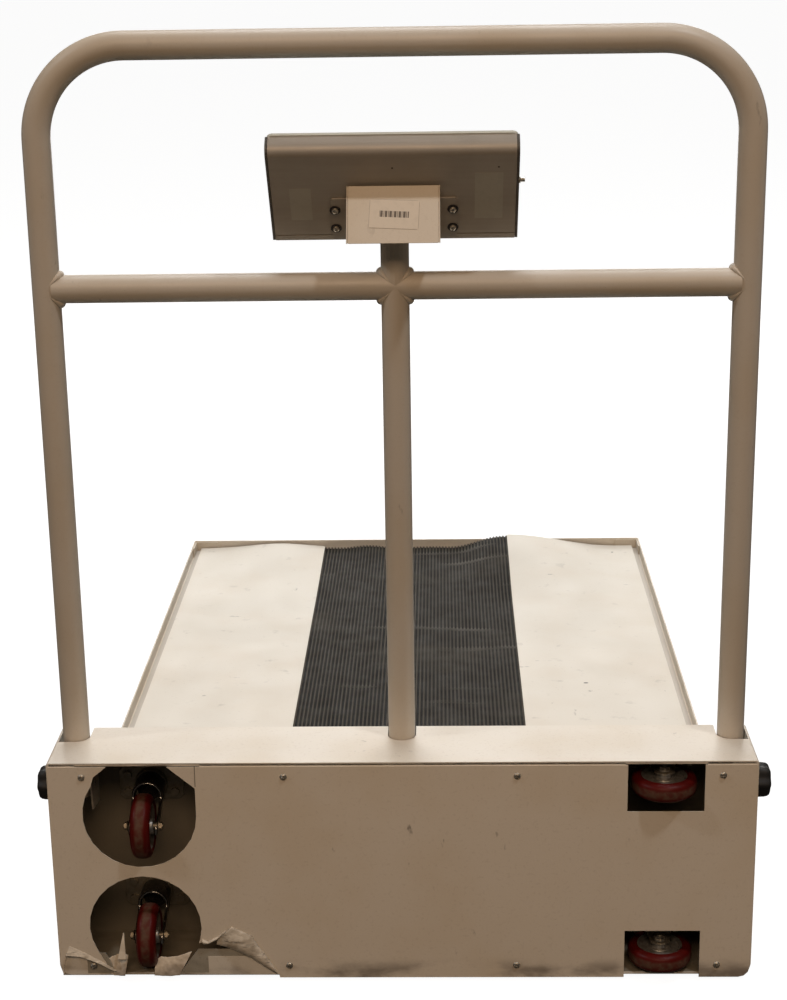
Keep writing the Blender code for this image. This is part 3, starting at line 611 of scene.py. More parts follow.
def handrail(look):
    """Smooth tubes in place of the faceted ones."""
    shoulder = HOOP_HIGH.z - TUBE_R - BEND_R
    left = arc((-SIDE_X + BEND_R, shoulder), BEND_R, 180, 90, 28)
    right = arc((SIDE_X - BEND_R, shoulder), BEND_R, 90, 0, 28)
    hoop = [(-SIDE_X, HOOP_LOW.z), *left, *right, (SIDE_X, HOOP_LOW.z)]
    inside = SIDE_X - TUBE_R * 0.5
    cross = [(-inside, MID_RAIL_Z), (inside, MID_RAIL_Z)]
    post = [(0, POST_LOW.z), (0, MID_RAIL_Z)]
    nodes = {"hoop_tube": "handrail_hoop", "cross_tube": "mid_rail", "post_tube": "centre_post"}
    for (name, node), path in zip(nodes.items(), (hoop, cross, post)):
        made = tube(name, [(x, RAIL_Y, z) for x, z in path], TUBE_R)
        place_piece(made, look, "handrail", [node])


def weld_path(corner, along, across):
    """Where a tube meets another of its own size at a T; along points down the joining tube."""
    points, steps = [], 72
    for i in range(steps):
        angle = tau * i / steps
        side, front = TUBE_R * cos(angle), TUBE_R * sin(angle)
        drop = sqrt(max(TUBE_R ** 2 - front ** 2, 0))
        points.append(Vector(corner) + Vector(across) * side + Vector((0, front, 0)) + Vector(along) * drop)
    return points


def weld_beads(look):
    """Rippled weld beads at the four tube joints."""
    places = (("left", -SIDE_X, (1, 0, 0), (0, 0, 1)), ("right", SIDE_X, (-1, 0, 0), (0, 0, 1)),
              ("post", 0, (0, 0, -1), (1, 0, 0)), ("stem", 0, (0, 0, 1), (1, 0, 0)))
    for name, x, along, across in places:
        path = weld_path((x, RAIL_Y, MID_RAIL_Z), along, across)
        seed = len(name) * 1.7
        def swell(i, seed=seed):
            corner_here = abs(cos(tau * i / len(path)))
            ripple = 0.07 * sin(i * 1.9 + seed) + 0.12 * noise.noise((i * 0.21, seed, 0))
            return max((1 + ripple) * corner_here ** 3, 0.02)
        bead = tube(f"weld_{name}", path, WELD_R, 5, True, swell)
        place_piece(bead, look, "handrail")


# Casters

def tread_profile(half, outer):
    """A tread's (radius, along) profile with a rounded crown."""
    crown, steps = 0.0105, 8
    shoulder = outer - crown
    points = [(HUB_R, half - 0.0022), (HUB_R + 0.0035, half - 0.0006)]
    for i in range(steps + 1):
        angle = radians(8 + 82 * i / steps)
        points.append((shoulder + crown * sin(angle), (half - 0.0004) * cos(angle) ** 0.62))
    points = [p for p in points if p[1] > 0.0005] + [(outer, 0.0005)]
    return points + [(radius, -along) for radius, along in reversed(points)]


def wheel_pieces(name, body, tread, hub):
    """A crowned tread on a stepped hub, in place of the plain wheel."""
    low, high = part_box(f"{name}_tyre")
    centre, axis = (low + high) / 2, AXES[f"{name}_wheel_spin"]
    half = min(high - low) / 2 + 0.0006
    made = lathe(f"{name}_tread", tread_profile(half, max(high - low) / 2), centre, axis, 96)
    place_piece(made, tread, body, [f"{name}_tyre"])
    face = [(0.0043, half), (0.0088, half), (0.0094, half - 0.0008), (0.0096, half - 0.0046)]
    face += [(0.0118, half - 0.005), (0.0124, half - 0.0044), (0.0138, half - 0.0044)]
    face += [(0.0144, half - 0.0052), (0.019, half - 0.0062), (0.0226, half - 0.0058)]
    face += [(0.0244, half - 0.0034), (0.0262, half - 0.0022)]
    made = lathe(f"{name}_cast_hub", face + [(r, -a) for r, a in reversed(face)], centre, axis, 72)
    place_piece(made, hub, body, [f"{name}_hub"])


def hex_nut(name, centre, axis, radius, height, look, body):
    """A chamfered hexagon nut with the end of its bolt, standing along an axis."""
    shape = bmesh.new()
    turn = Vector((0, 0, 1)).rotation_difference(Vector(axis)).to_matrix().to_4x4()
    base = Matrix.Translation(centre) @ turn
    def cone(rise, segments, foot, tip, depth):
        place = base @ Matrix.Translation((0, 0, rise))
        bmesh.ops.create_cone(shape, cap_ends=True, segments=segments, radius1=radius * foot,
                              radius2=radius * tip, depth=depth, matrix=place)
    cone(0, 6, 1, 1, height)
    bmesh.ops.bevel(shape, geom=shape.edges[:], offset=radius * 0.1, segments=2, affect="EDGES")
    cone(height * 0.35, 24, 0.52, 0.46, height * 0.9)
    cone(-height * 0.5, 32, 1.22, 1.18, 0.001)
    place_piece(from_bmesh(name, shape, 30), look, body)


def fork_spine(reach):
    """The arch of a swivel fork seen along its kingpin: (across, up) pairs from foot to foot."""
    foot = [(FORK_HALF - 0.0012 * i / 8, -reach * i / 8) for i in range(8, 0, -1)]
    return foot + arc((0, 0), FORK_HALF, 0, 180, 28) + [(-a, u) for a, u in reversed(foot)]


def swivel_arch(level, dark, bright, nut):
    """A pressed fork: a dark hood round the kingpin, legs with worn bright edges, axle and nuts."""
    body, node = f"swivel_{level}", f"swivel_fork_{level}"
    low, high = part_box(node)
    x, _, z = PIVOTS[f"swivel_{level}_turn"]
    axle = PIVOTS[f"swivel_{level}_wheel_spin"]
    reach = z - axle[2] + 0.0085
    back, crown = high.y - 0.0004, high.y - 0.03
    shape = bmesh.new()
    rows, edge = [], []
    for across, up in fork_spine(reach):
        drop = max(-up, 0) / reach
        far = crown + (low.y + 0.004 - crown) * smoothstep(drop * 1.25)
        near = back - (back - axle[1] - 0.0105) * smoothstep(drop * 1.1)
        places = [Vector((x + across, near + (far - near) * k / 8, z + up)) for k in range(9)]
        rows.append([shape.verts.new(p) for p in places])
        edge.append(places[-1])
    for row, following in zip(rows, rows[1:]):
        strip(shape, row, following)
    arch = thicken(from_bmesh(f"fork_arch_{level}", shape, 60), FORK_SHEET, 1)
    place_piece(soften(arch, 0.0005, 2, 50), dark, body, [node])
    def wear(i):
        return 1 + 0.25 * noise.noise((i * 0.7, 2, 5))
    rim = tube(f"fork_rim_{level}", edge, 0.001, 4, False, wear)
    place_piece(rim, bright, body)
    hood = [(0, 0.0125), (0.004, 0.0128), (0.0058, 0.0118), (0.0064, 0.01), (0.01, 0.0098)]
    hood += [(0.0112, 0.0086), (0.0148, 0.008), (0.0152, 0.0066), (0.0154, 0.001), (0, 0.0006)]
    place_piece(lathe(f"kingpin_{level}", hood, (x, back, z), (0, -1, 0), 48), dark, body)
    for side, hand in SIDES:
        centre = (x + side * (FORK_HALF + FORK_SHEET + 0.0022), axle[1], axle[2])
        hex_nut(f"axle_nut_{level}_{hand}", centre, (side, 0, 0), 0.0052, 0.0036, nut, body)
    ends = [(x + side * FORK_HALF, axle[1], axle[2]) for side, _ in SIDES]
    spindle = tube(f"axle_{level}", ends, 0.004, 6)
    place_piece(spindle, nut, body)


def rigid_dressing(level, nut):
    """Washer and nut on top of a rigid caster's axle."""
    x, y, _ = PIVOTS[f"rigid_{level}_wheel_spin"]
    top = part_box(f"rigid_fork_{level}")[1].z
    hex_nut(f"rigid_nut_{level}", (x, y, top - 0.002), (0, 0, 1), 0.0068, 0.0036, nut, "base")


# Rear cover and its torn corner

def on_cover(x, z, out=0):
    """A point on the cover's outer face, standing out from it."""
    return Vector((x, COVER_LOW.y - out, z))


TEAR_EDGE = [(-0.2008, 0.0726), (-0.1772, 0.0609), (-0.1696, 0.0465), (-0.1574, 0.0284), (-0.1466, 0.01)]
FOLD_EDGE = [(-0.218, 0.056), (-0.219, 0.048), (-0.204, 0.043), (-0.18, 0.03), (-0.152, 0.011)]
LEFT_TEAR = [(-0.391, 0.047), (-0.37, 0.0355), (-0.3501, 0.0233), (-0.34, 0.016)]


def torn_cover(look):
    """The cover sheet without its two torn-away patches."""
    sheet = new_object("cover_sheet", NODES["rear_cover"].data.copy())
    foot = COVER_LOW.z - 0.01
    right = [(-0.27, foot), (-0.27, 0.02), (-0.25, 0.047), (-0.234, 0.053), (-0.2282, 0.0515)]
    right += [(-0.2175, 0.0574), (-0.2059, 0.0664)] + TEAR_EDGE + [(-0.144, foot)]
    left = LEFT_TEAR + [(-0.338, foot), (-0.4005, foot), (-0.4, 0.02), (-0.3965, 0.034)]
    for name, outline in (("right", right), ("left", left)):
        cutter = extruded(f"tear_{name}", outline, 0.02, (0, COVER_LOW.y, 0), UPRIGHT)
        cut_away(sheet, cutter)
    place_piece(sheet, look, "base", ["rear_cover"])


def crumple(x, z, seed, size):
    """Creases of torn sheet metal, coarse and fine, in metres."""
    coarse = noise.noise((x * 70 + seed, z * 70, seed))
    fine = noise.noise((x * 260, z * 260 + seed, 1.7))
    return size * (coarse + 0.35 * fine)


def bent_sheet(name, look, first, last, bow, inward, size, seed):
    """Creased sheet between two lines on the cover; bow(u, v) is how far it stands out."""
    def place(u, v):
        spot = along_line(first, u).lerp(along_line(last, u), v)
        return on_cover(spot.x, spot.y, bow(u, v) - inward + crumple(spot.x, spot.y, seed, size))
    place_piece(thicken(grid(name, 56, 22, place), 0.0006), look, "base")


def torn_flaps(look, painted, bare):
    """The ridge torn out of the cover, its lifted edges, and the lips crushed inwards."""
    def ridge(u, v):
        rise = 0.0085 * sin(pi * min(0.12 + 0.86 * u, 1)) ** 0.7
        return rise * sin(pi * min(v * 1.05, 1)) ** 0.55 * (1 - 0.55 * v) - 0.0024 * v
    bent_sheet("torn_ridge", look, TEAR_EDGE, FOLD_EDGE, ridge, 0, 0.0011, 4)
    lip = [(-0.2356, 0.056), (-0.2282, 0.0535), (-0.2175, 0.0592), (-0.207, 0.0678)]
    rolled = [(-0.234, 0.049), (-0.2282, 0.05), (-0.219, 0.0552), (-0.208, 0.065)]
    def roll(u, v):
        return 0.002 * sin(pi * v)
    bent_sheet("rolled_edge", look, lip, rolled, roll, 0, 0.0004, 6)
    raised = [(-0.392, 0.0475), (-0.372, 0.0372), (-0.352, 0.025), (-0.338, 0.015)]
    lifted = [(-0.3965, 0.0365), (-0.38, 0.035), (-0.356, 0.024), (-0.34, 0.0135)]
    def curl(u, v):
        return 0.004 * v * (1 - u) ** 0.8
    bent_sheet("torn_corner", look, raised, lifted, curl, 0, 0.0007, 9)
    crest = [(-0.358, 0.027), (-0.35, 0.0262), (-0.343, 0.03), (-0.334, 0.0335), (-0.3245, 0.0318)]
    root = [(-0.344, 0.009), (-0.342, 0.008), (-0.338, 0.008), (-0.333, 0.008), (-0.3285, 0.008)]
    def tilt(u, v):
        return 0.001 + 0.007 * v
    bent_sheet("crushed_lip_left", painted, crest, root, tilt, 0.0085, 0.0018, 2)
    flake = [(-0.3288, 0.0618), (-0.3282, 0.0622), (-0.3278, 0.0615)]
    stem = [(-0.336, 0.03), (-0.331, 0.03), (-0.3262, 0.03)]
    bent_sheet("torn_flake", painted, flake, stem, tilt, 0.006, 0.0012, 5)
    crest = [(-0.293, 0.025), (-0.286, 0.0292), (-0.279, 0.028), (-0.266, 0.03), (-0.249, 0.0365)]
    root = [(-0.294, 0.008), (-0.287, 0.008), (-0.279, 0.008), (-0.272, 0.008), (-0.264, 0.008)]
    bent_sheet("crushed_lip_right", painted, crest, root, tilt, 0.0085, 0.0016, 8)
    flange = [(-0.264, 0.008), (-0.257, 0.02), (-0.242, 0.0405), (-0.2407, 0.0421)]
    flange += [(-0.15, 0.0421), (-0.142, 0.008)]
    corner = [(-0.402, 0.008), (-0.402, 0.037), (-0.35, 0.037), (-0.338, 0.008)]
    for name, outline in (("flange_right", flange), ("flange_left", corner)):
        made = extruded(name, outline, 0.0012, (0, COVER_HIGH.y + 0.0012, 0), UPRIGHT)
        place_piece(made, bare, "base")


def top_flange(look):
    """The folded strip behind the cover's upper edge."""
    low, high = HOUSING_HIGH.z - 0.0035, HOUSING_HIGH.z - 0.0009
    reach = HOUSING_HIGH.x - 0.003
    edge = [(-reach, low), (reach, low), (reach, high), (-reach, high)]
    made = extruded("cover_top_flange", edge, 0.001, (0, COVER_HIGH.y + 0.0008, 0), UPRIGHT)
    place_piece(soften(made, 0.0002, 2), look, "base")


def pan_screws(look):
    """Cross-slotted pan heads in place of the plain ones."""
    for i in range(8):
        node = f"cover_screw_{i + 1}"
        low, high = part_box(node)
        centre = (low + high) / 2
        radius = (high.x - low.x) / 2
        rise = radius * SCREW_DOME
        shape = bmesh.new()
        bmesh.ops.create_uvsphere(shape, u_segments=32, v_segments=16, radius=radius)
        bmesh.ops.scale(shape, vec=(1, 1, SCREW_DOME), verts=shape.verts)
        bmesh.ops.bisect_plane(shape, geom=shape.verts[:] + shape.edges[:] + shape.faces[:],
                               plane_co=(0, 0, 0), plane_no=(0, 0, -1), clear_outer=True)
        head = from_bmesh(f"pan_head_{i + 1}", shape)
        cross = [(-0.0023, -0.0004), (0.0023, -0.0004), (0.0023, 0.0004), (-0.0023, 0.0004)]
        for k, turn in enumerate((0, pi / 2)):
            slot = extruded(f"cross_{i + 1}_{k}", cross, 0.003, (0, 0, rise), (0, 0, turn + i))
            cut_away(head, slot)
            slot.parent = head
        head.location = (centre.x, low.y + rise, centre.z)
        head.rotation_euler = UPRIGHT
        place_piece(head, look, "base", [node])


def knob(side, name, look, metal):
    """A six-lobed hand knob, rounded over, with a metal washer under it."""
    node = f"lock_knob_{name}"
    low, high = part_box(node)
    _, y, z = PIVOTS[f"knob_{name}_turn"]
    face = high.x if side > 0 else low.x
    wall = HOUSING_HIGH.x if side > 0 else HOUSING_LOW.x
    deep = abs(face - wall) - 0.006
    lobe = 0.0016
    round_part = (high.z - low.z) / 2 - lobe
    rings = [(0, 0.9), (0.06, 0.97), (0.18, 1), (0.6, 0.985), (0.8, 0.95), (0.93, 0.86)]
    rings += [(0.985, 0.72), (1, 0.55)]
    shape = bmesh.new()
    loops = []
    for depth_at, size in rings:
        loop = []
        for i in range(96):
            angle = tau * i / 96
            radius = (round_part + lobe * cos(6 * angle)) * size
            x = face - side * deep * (1 - depth_at)
            loop.append(shape.verts.new((x, y + radius * cos(angle), z + radius * sin(angle))))
        loops.append(loop)
    for loop, following in zip(loops, loops[1:]):
        band(shape, loop, following)
    shape.faces.new(loops[0])
    shape.faces.new(loops[-1])
    made = from_bmesh(f"knob_grip_{name}", shape)
    place_piece(made, look, f"knob_{name}", [node])
    end = low.x if side > 0 else high.x
    stud = tube(f"knob_stud_{name}", [(end, y, z), (face - side * 0.01, y, z)], STUD_R, 8)
    place_piece(stud, metal, f"knob_{name}")
    ring = lathe(f"knob_washer_{name}", [(0.005, 0), (0.0135, 0), (0.0135, 0.005), (0.005, 0.005)],
                 (wall + side * 0.0006, y, z), (side, 0, 0), 48)
    place_piece(ring, metal, f"knob_{name}")


def pivot_bracket(side, name, look):
    """Plate beside a side tube's slot, inside the housing."""
    _, y, z = PIVOTS[f"knob_{name}_turn"]
    stud_end = abs(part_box(f"lock_knob_{name}")[1 if side < 0 else 0].x)
    far = HOUSING_HIGH.y - 0.0022
    side_view = [(y - 0.02, z - 0.026), (far, z - 0.034), (far, HOUSING_HIGH.z - 0.003),
                 (y - 0.01, HOUSING_HIGH.z - 0.003), (y - 0.024, z + 0.006)]
    plate = upright_plate(f"pivot_bracket_{name}", side_view, side * (stud_end + 0.0012), 0.002)
    place_piece(soften(plate, 0.0004, 2), look, "base")


def knob_clip(side, name, metal):
    """The small bent tab on the housing's side below a knob."""
    _, y, z = PIVOTS[f"knob_{name}_turn"]
    wall = HOUSING_HIGH.x if side > 0 else HOUSING_LOW.x
    bends = [(0.0007, -0.0235), (0.0008, -0.026), (0.007, -0.0275)]
    bends += [(0.0085, -0.029), (0.0025, -0.042), (0.0008, -0.0435)]
    def place(u, v):
        out, rise = along_line([(*bend, 0) for bend in bends], v)[:2]
        return Vector((wall + side * out, y - 0.006 + 0.011 * u, z + rise))
    tab = thicken(grid(f"knob_clip_{name}", 4, 30, place), 0.001)
    place_piece(tab, metal, "base")


# Display head

def tilted(x, y, z):
    """A point given flat against the display's rear face, in the display's own tilt."""
    foot = Vector((0, DISPLAY_FOOT.y, DISPLAY_FOOT.z))
    turn = Matrix.Rotation(DISPLAY_TILT, 3, "X")
    return foot + turn @ Vector((x, y, z))


def display_foot():
    """Lower rear edge of the display housing."""
    rows = [v.co for v in NODES["end_cap_left"].data.vertices]
    lowest = min(rows, key=lambda co: co.z)
    return Vector((0, lowest.y, lowest.z)) - Matrix.Rotation(DISPLAY_TILT, 3, "X") @ Vector((0, 0.003, 0))


DISPLAY_FOOT = display_foot()


def display_label(name, x, z, width, height, look):
    """A thin blank label stuck on the display's rear face."""
    x_half, z_half = width / 2, height / 2
    outline = [(-x_half, -z_half), (x_half, -z_half), (x_half, z_half), (-x_half, z_half)]
    made = extruded(name, outline, 0.0002, tilted(x, -0.00012, z), (DISPLAY_TILT + pi / 2, 0, 0))
    place_piece(made, look, "display")


def shell_profile(inset):
    """The display extrusion from its end, as (depth, height) from its lower rear corner."""
    radius, foot = 0.011 - inset, 0.004 - inset
    front, top = 0.0215, DISPLAY_RISE - inset
    points = arc((inset + foot, inset + foot), foot, 180, 270, 8) + [(front, inset), (front, top)]
    points += arc((inset + radius, top - radius), radius, 90, 180, 28)
    return points + [(inset, 0.0106), (inset + 0.0016, 0.0105), (inset + 0.0016, 0.0093), (inset, 0.0092)]


def smooth_shell(look):
    """The display's extrusion, round along its upper rear edge, with a fine seam below."""
    low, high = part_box("display_housing")
    shape = bmesh.new()
    loops = []
    for x in (low.x, high.x):
        for inset in (0, 0.0022):
            loops.append([shape.verts.new(tilted(x, y, z)) for y, z in shell_profile(inset)])
    outer_left, inner_left, outer_right, inner_right = loops
    band(shape, outer_left, outer_right)
    band(shape, inner_left, inner_right)
    band(shape, outer_left, inner_left)
    band(shape, outer_right, inner_right)
    shell = from_bmesh("display_shell", shape, 40)
    place_piece(shell, look, "display", ["display_housing"])


def box_profile(proud=0):
    """The tilt box from its end, as (y, z) from the rear top corner round to the foot."""
    low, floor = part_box("tilt_box")[0], PIVOTS["display_tilt"][2] + 0.002
    top, foot = tilted(0, -0.0026, 0.085), tilted(0, -0.0026, 0.0145)
    rear = Vector((0, low.y, floor))
    out = Vector((0, -proud * 0.9, proud * 0.3))
    return [(p.y, p.z) for p in (top + out, rear + out, Vector((0, foot.y - 0.004, floor)), foot)]


def sheet_box(look):
    """The tilt box as folded sheet between two side plates that stand just proud, with two ears."""
    half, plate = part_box("tilt_box")[1].x, 0.0015
    shape = prism([(plate - half, y, z) for y, z in box_profile()], (2 * (half - plate), 0, 0))
    body = soften(from_bmesh("folded_box", shape, 40), 0.0009, 3)
    place_piece(body, look, "display", ["tilt_box"])
    _, y, z = PIVOTS["display_tilt"]
    ear_r = 0.0062
    ear = arc((y, z), ear_r, 180, 360, 16) + [(y + ear_r, z + 0.004), (y - ear_r, z + 0.004)]
    for side, name in SIDES:
        cheek = upright_plate(f"box_cheek_{name}", box_profile(0.0003), side * (half - plate / 2), plate)
        place_piece(soften(cheek, 0.0005, 2), look, "display")
        made = upright_plate(f"box_ear_{name}", ear, side * (TUBE_R + 0.0018), 0.0025)
        place_piece(soften(made, 0.0004, 2), look, "display")


def box_label(paper_look):
    """A slightly crooked label on the tilt box's rear face."""
    (top_y, top_z), (foot_y, foot_z) = box_profile()[:2]
    up = Vector((0, top_y - foot_y, top_z - foot_z)).normalized()
    normal = Vector((1, 0, 0)).cross(up)
    middle = Vector((0.001, (top_y + foot_y) / 2, (top_z + foot_z) / 2)) + normal * 0.0002
    made = extruded("box_label", rounded_rectangle(*LABEL_HALF, 0.0022), 0.0003)
    turn = Matrix((Vector((1, 0, 0)), up, normal)).transposed().to_4x4()
    made.matrix_world = Matrix.Translation(middle) @ turn @ Matrix.Rotation(radians(-3), 4, "Z")
    place_piece(made, paper_look, "display")


def rounded_rectangle(half_x, half_y, radius):
    """A rectangle's outline with round corners."""
    x, y = half_x - radius, half_y - radius
    points = arc((x, y), radius, 0, 90, 5) + arc((-x, y), radius, 90, 180, 5)
    return points + arc((-x, -y), radius, 180, 270, 5) + arc((x, -y), radius, 270, 360, 5)


def plate_screws(washer_look, head_look):
    """Domed screws with a small round dip in the top, and washers, on the bracket plate."""
    back = tilted(0, -1, 0) - tilted(0, 0, 0)
    for i, (x, z) in enumerate(((-0.0635, 0.0225), (0.0635, 0.0225), (-0.0635, 0.0495), (0.0635, 0.0495))):
        seat = tilted(x, -0.0024, z)
        ring = [(0, 0), (0.006, 0), (0.006, 0.0007), (0.0056, 0.0011), (0, 0.0011)]
        place_piece(lathe(f"plate_washer_{i}", ring, seat, back, 40), washer_look, "display")
        dome = [(0, 0.0008), (0.0038, 0.0008), (0.0038, 0.0018), (0.0034, 0.0029), (0.0024, 0.0035)]
        dome += [(0.0014, 0.0037), (0.0012, 0.0026), (0, 0.0024)]
        place_piece(lathe(f"plate_screw_{i}", dome, seat, back, 32), head_look, "display")


# Platform

def lift_at_far_edge(y, reach):
    """A place's share of the far edge's unevenness."""
    return smoothstep(1 - (MAT_HIGH.y - y) / reach)


def right_lift(x, y):
    """Rise of the right panel towards its far inner corner."""
    return 0.0225 * lift_at_far_edge(y, 0.3) * (1 - smoothstep((x - PANEL_EDGE) / 0.19))


def left_lift(x, y):
    """Shallow arch along the left panel's far edge."""
    return 0.0085 * lift_at_far_edge(y, 0.22) * exp(-((x + 0.245) / 0.075) ** 2)


def mat_lift(x, y):
    """Waves along the mat's far edge."""
    under_right = max(right_lift(max(x, PANEL_EDGE), y) - 0.0012, 0)
    under_left = max(left_lift(min(x, -PANEL_EDGE), y) - 0.0012, 0)
    wave = 0.005 * exp(-((x + 0.085) / 0.035) ** 2) + 0.002 * exp(-((x - 0.03) / 0.05) ** 2)
    own = wave * lift_at_far_edge(y, 0.1)
    to_right, to_left = smoothstep((x - 0.06) / 0.095), smoothstep((-0.11 - x) / 0.05)
    return own * (1 - to_right) * (1 - to_left) + under_right * to_right + under_left * to_left


def fine_mat(look):
    """Rubber matting with a fine rib, its far edge not quite flat."""
    thick = MAT_HIGH.z - MAT_LOW.z
    rib_light_groove_shade = [(-0.42, 0.3), (-0.3, 0.36), (-0.22, 0.88), (-0.12, 1), (0.12, 1), (0.22, 0.88), (0.3, 0.36)]
    section = []
    for i in range(MAT_RIBS):
        x = MAT_LOW.x + (i + 0.5) * MAT_PITCH
        section += [(x + offset * MAT_PITCH, MAT_LOW.z + height * thick) for offset, height in rib_light_groove_shade]
    def place(u, v):
        x, z = section[round(u * (len(section) - 1))]
        y = MAT_LOW.y + (MAT_HIGH.y - MAT_LOW.y) * (1 - (1 - v) ** 2)
        return Vector((x, y, z + mat_lift(x, y)))
    sheet = grid("fine_ribbed_mat", len(section) - 1, 40, place)
    place_piece(sheet, look, "base", ["ribbed_mat"])


def loose_panels(look):
    """The two side panels, not quite flat."""
    for name, lift in (("left", left_lift), ("right", right_lift)):
        low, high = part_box(f"side_panel_{name}")
        def place(u, v, low=low, high=high, lift=lift):
            x = low.x + (high.x - low.x) * u
            y = low.y + (high.y - low.y) * (1 - (1 - v) ** 2)
            drift = 0.0005 * noise.noise((x * 6, y * 4, 2)) + 0.0005
            return Vector((x, y, high.z + lift(x, y) - drift))
        sheet = thicken(grid(f"loose_panel_{name}", 40, 80, place), high.z - low.z - 0.0004, -1)
        place_piece(soften(sheet, 0.0004, 2), look, "base", [f"side_panel_{name}"])


# Putting it together

def dress(nodes, look, round_over=0):
    """Give carried-over CAD nodes a material and rounded edges."""
    for node in nodes:
        made = NODES[node]
        for slot in made.material_slots:
            slot.material = look.material
        if round_over:
            soften(made, round_over)


def build_object():
    """Every piece and every material."""
    cream = enamel("cream_enamel_tube", (0.6, 0.54, 0.46), scuff=0.45)
    box_paint = enamel("cream_enamel_box", (0.78, 0.725, 0.635), 0.03, 0.45, dusty_shaded_inside=True)
    cover_paint = enamel("cover_enamel_worn", (0.79, 0.71, 0.6), 0.034, 0.75, (-0.235, 0.2515))
    box_cream = enamel("cream_enamel_head", (0.7, 0.63, 0.53), scuff=0.15)
    tray_paint = enamel("cream_enamel_tray", (0.78, 0.705, 0.6), scuff=0.4, shaded_grey_floor=True)
    plated = zinc("zinc_plate")
    bright = zinc("zinc_bright", (0.66, 0.64, 0.58), 0.28)
    nickel = chrome()
    moulded = black_moulding()
    black_steel = greased_black()
    dull = zinc("zinc_dull", (0.42, 0.38, 0.31), 0.5)
    nut_steel = zinc("zinc_nut", (0.34, 0.3, 0.24), 0.46)
    white = plain_plastic("bezel_white", (0.62, 0.64, 0.58), 0.42)
    grey_key = plain_plastic("key_grey_soft", (0.3, 0.31, 0.32), 0.55)
    cap_dark = plain_plastic("end_cap_dark", (0.085, 0.076, 0.066), 0.45)

    handrail(cream)
    weld_beads(cream)
    dress(["display_stem"], cream, 0.0004)
    dress(["base_housing"], box_paint, 0.0009)
    torn_cover(cover_paint)
    torn_flaps(torn_enamel(), cover_paint, bare_sheet())
    top_flange(cover_paint)
    pan_screws(plated)
    tread, hub = tread_red(), cast_hub()
    for level in ("upper", "lower"):
        wheel_pieces(f"swivel_{level}", f"wheel_swivel_{level}", tread, hub)
        wheel_pieces(f"rigid_{level}", f"wheel_rigid_{level}", tread, hub)
        swivel_arch(level, black_steel, nickel, nut_steel)
        rigid_dressing(level, bright)
        dress([f"swivel_plate_{level}"], dull, 0.0004)
        dress([f"rigid_fork_{level}"], plated, 0.0004)
    dress(["centre_clevis"], plated, 0.0004)
    for side, name in SIDES:
        knob(side, name, moulded, bright)
        knob_clip(side, name, bright)
        pivot_bracket(side, name, box_paint)

    sheet_box(box_cream)
    box_label(paper("label_paper", (0.74, 0.66, 0.55), LABEL_HALF))
    dress(["tilt_bolt", "data_socket"], bright, 0.0003)
    satin = bead_blasted()
    dress(["bracket_plate"], satin, 0.00015)
    plate_screws(black_steel, zinc("zinc_polished", (0.8, 0.76, 0.68), 0.2))
    smooth_shell(satin)
    dress(["end_cap_left", "end_cap_right"], cap_dark, 0.0005)
    dress(["front_bezel"], white, 0.0006)
    dress(["display_window"], lens())
    dress(["key_1", "key_2"], grey_key, 0.0006)
    dress(["circuit_board"], board())
    film = paper("label_film", (0.44, 0.415, 0.35))
    display_label("label_rear_left", -0.1, 0.056, 0.023, 0.046, film)
    display_label("label_rear_right", 0.102, 0.066, 0.03, 0.066, film)

    dress(["platform_tray"], tray_paint, 0.0006)
    fine_mat(rubber_mat())
    panel_low, panel_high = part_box("side_panel_right")
    chip = (panel_low.x + 0.095, panel_low.y + 0.522, panel_high.z)
    loose_panels(panel_white(chip))
    dress(["corner_bracket_left", "corner_bracket_right"], box_cream, 0.0003)
    dress(["frame_rail_left", "frame_rail_right", "frame_crossbar"], box_paint, 0.0012)
    cells = zinc("cell_aluminium", (0.5, 0.5, 0.49), 0.4)
    dress([f"load_cell_{corner}" for corner in CORNERS], cells, 0.0006)
    rubber = plain_plastic("foot_rubber", (0.03, 0.03, 0.03), 0.75)
    dress([f"foot_{corner}" for corner in CORNERS], rubber, 0.001)


# Studio

def area_light(name, place, aim, size, power, colour):
    """A square soft light pointed at a place."""
    data = bpy.data.lights.new(name, "AREA")
    data.shape = "RECTANGLE"
    data.size, data.size_y = size
    data.energy = power
    data.color = colour
    made = new_object(name, data)
    made.location = place
    made.rotation_euler = (Vector(aim) - Vector(place)).to_track_quat("-Z", "Y").to_euler()


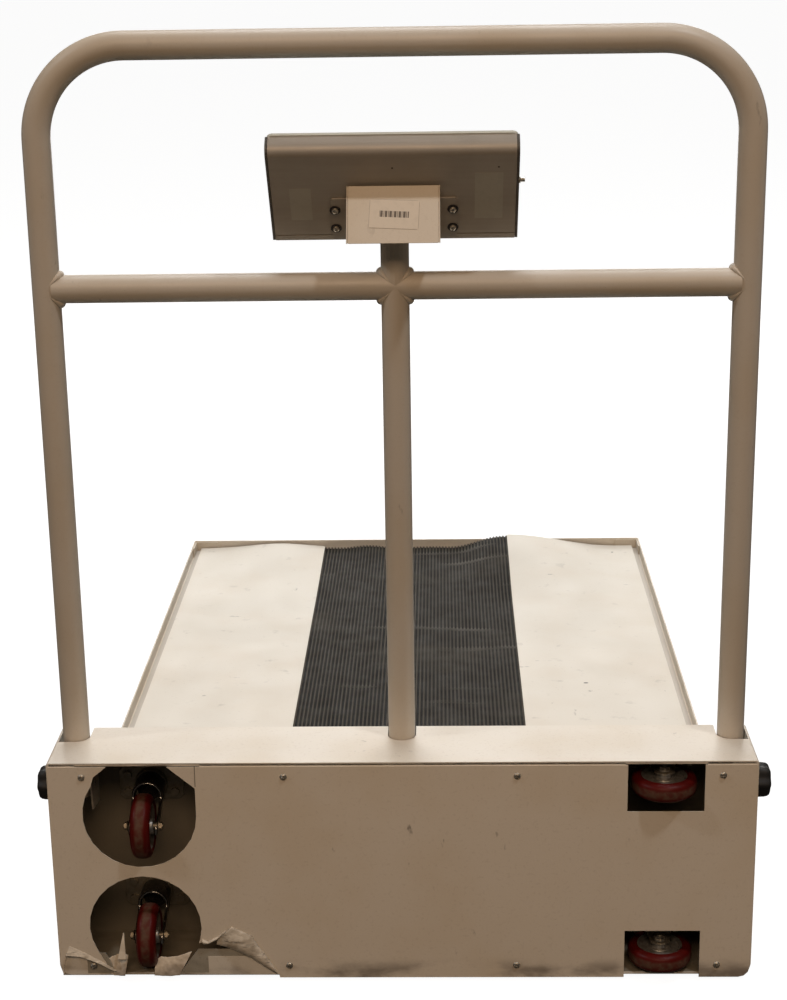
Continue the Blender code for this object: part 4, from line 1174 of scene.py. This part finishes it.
def studio():
    """Pale floor, white surroundings and soft light from above, with a warm fill from the rear."""
    scene = bpy.context.scene
    world = bpy.data.worlds.new("studio")
    scene.world = world
    world.use_nodes = True
    tree = world.node_tree
    seen = tree.nodes["Background"]
    seen.inputs["Color"].default_value = (1, 1, 1, 1)
    dim = tree.nodes.new("ShaderNodeBackground")
    dim.inputs["Color"].default_value = (0.9, 0.8, 0.68, 1)
    dim.inputs["Strength"].default_value = 0.05
    path = tree.nodes.new("ShaderNodeLightPath")
    mix = tree.nodes.new("ShaderNodeMixShader")
    tree.links.new(path.outputs["Is Camera Ray"], mix.inputs[0])
    tree.links.new(dim.outputs[0], mix.inputs[1])
    tree.links.new(seen.outputs[0], mix.inputs[2])
    tree.links.new(mix.outputs[0], tree.nodes["World Output"].inputs["Surface"])

    reach = 30
    square = [(-reach, -reach), (reach, -reach), (reach, reach), (-reach, reach)]
    floor = extruded("floor", square, 0.02, (0, 0, CAD_BOX[0][2] - 0.0102))
    floor.data.materials.append(floor_look().material)
    floor.visible_diffuse = False
    floor.visible_glossy = False

    rear = HOUSING_LOW.y
    neutral, warm = (0.985, 0.99, 1), (1, 0.7, 0.46)
    sheen, side_tone = (1, 0.97, 0.92), (1, 0.92, 0.84)
    high = 6.4
    back = rear - 0.24 * high
    for name, place, aim, size, power, colour in (
            ("key_right", (0.36 * high, back, high), (0, rear, 0.4), (0.34, 0.34), 92, neutral),
            ("key_left", (-1 * high, back, high), (0, rear, 0.4), (0.34, 0.34), 98, neutral),
            ("top_soft", (0, 1.6, 5), (0, 0.1, 0.1), (2.6, 2), 104, neutral),
            ("rear_fill", (0, rear - 3.9, 3.7), (0, rear, 0.3), (3.2, 1.4), 84, warm),
            ("far_sheen", (0, 3.6, 1.4), (0, 0, 0.5), (3, 2), 60, sheen),
            ("side_left", (-3.4, 0.3, 1.2), (0, 0, 0.4), (2, 1.6), 4, side_tone),
            ("side_right", (3.4, 0.3, 1.2), (0, 0, 0.4), (2, 1.6), 4, side_tone)):
        area_light(name, place, aim, size, power, colour)
    scene.view_settings.view_transform = "Standard"


def floor_look():
    """Pale floor that stays light away from the lamps."""
    look = Look("studio_floor", (0.16, 0.159, 0.157), 0.9)
    look.stain((0.15, 0.149, 0.148), 0.3, 0.4, 0.7, 3, 3)
    look.shader.inputs["Emission Color"].default_value = (1, 1, 1, 1)
    look.shader.inputs["Emission Strength"].default_value = 0.955
    return look


def camera():
    """A camera behind the scale, looking down over the housing."""
    yaw, pitch, roll = (radians(angle) for angle in CAMERA_TURNS)
    ahead = Vector((sin(yaw) * cos(pitch), cos(yaw) * cos(pitch), -sin(pitch)))
    level = Vector((cos(yaw), -sin(yaw), 0))
    down = ahead.cross(level)
    right = level * cos(roll) + down * sin(roll)
    up = level * sin(roll) - down * cos(roll)
    data = bpy.data.cameras.new("camera")
    data.sensor_fit = "VERTICAL"
    data.sensor_height = 36
    data.lens = LENS_MM
    made = new_object("camera", data)
    turn = Matrix((right, up, -ahead)).transposed()
    made.matrix_world = Matrix.Translation(CAMERA_PLACE) @ turn.to_4x4()
    bpy.context.scene.camera = made


build_object()
studio()
camera()
bpy.context.view_layer.update()
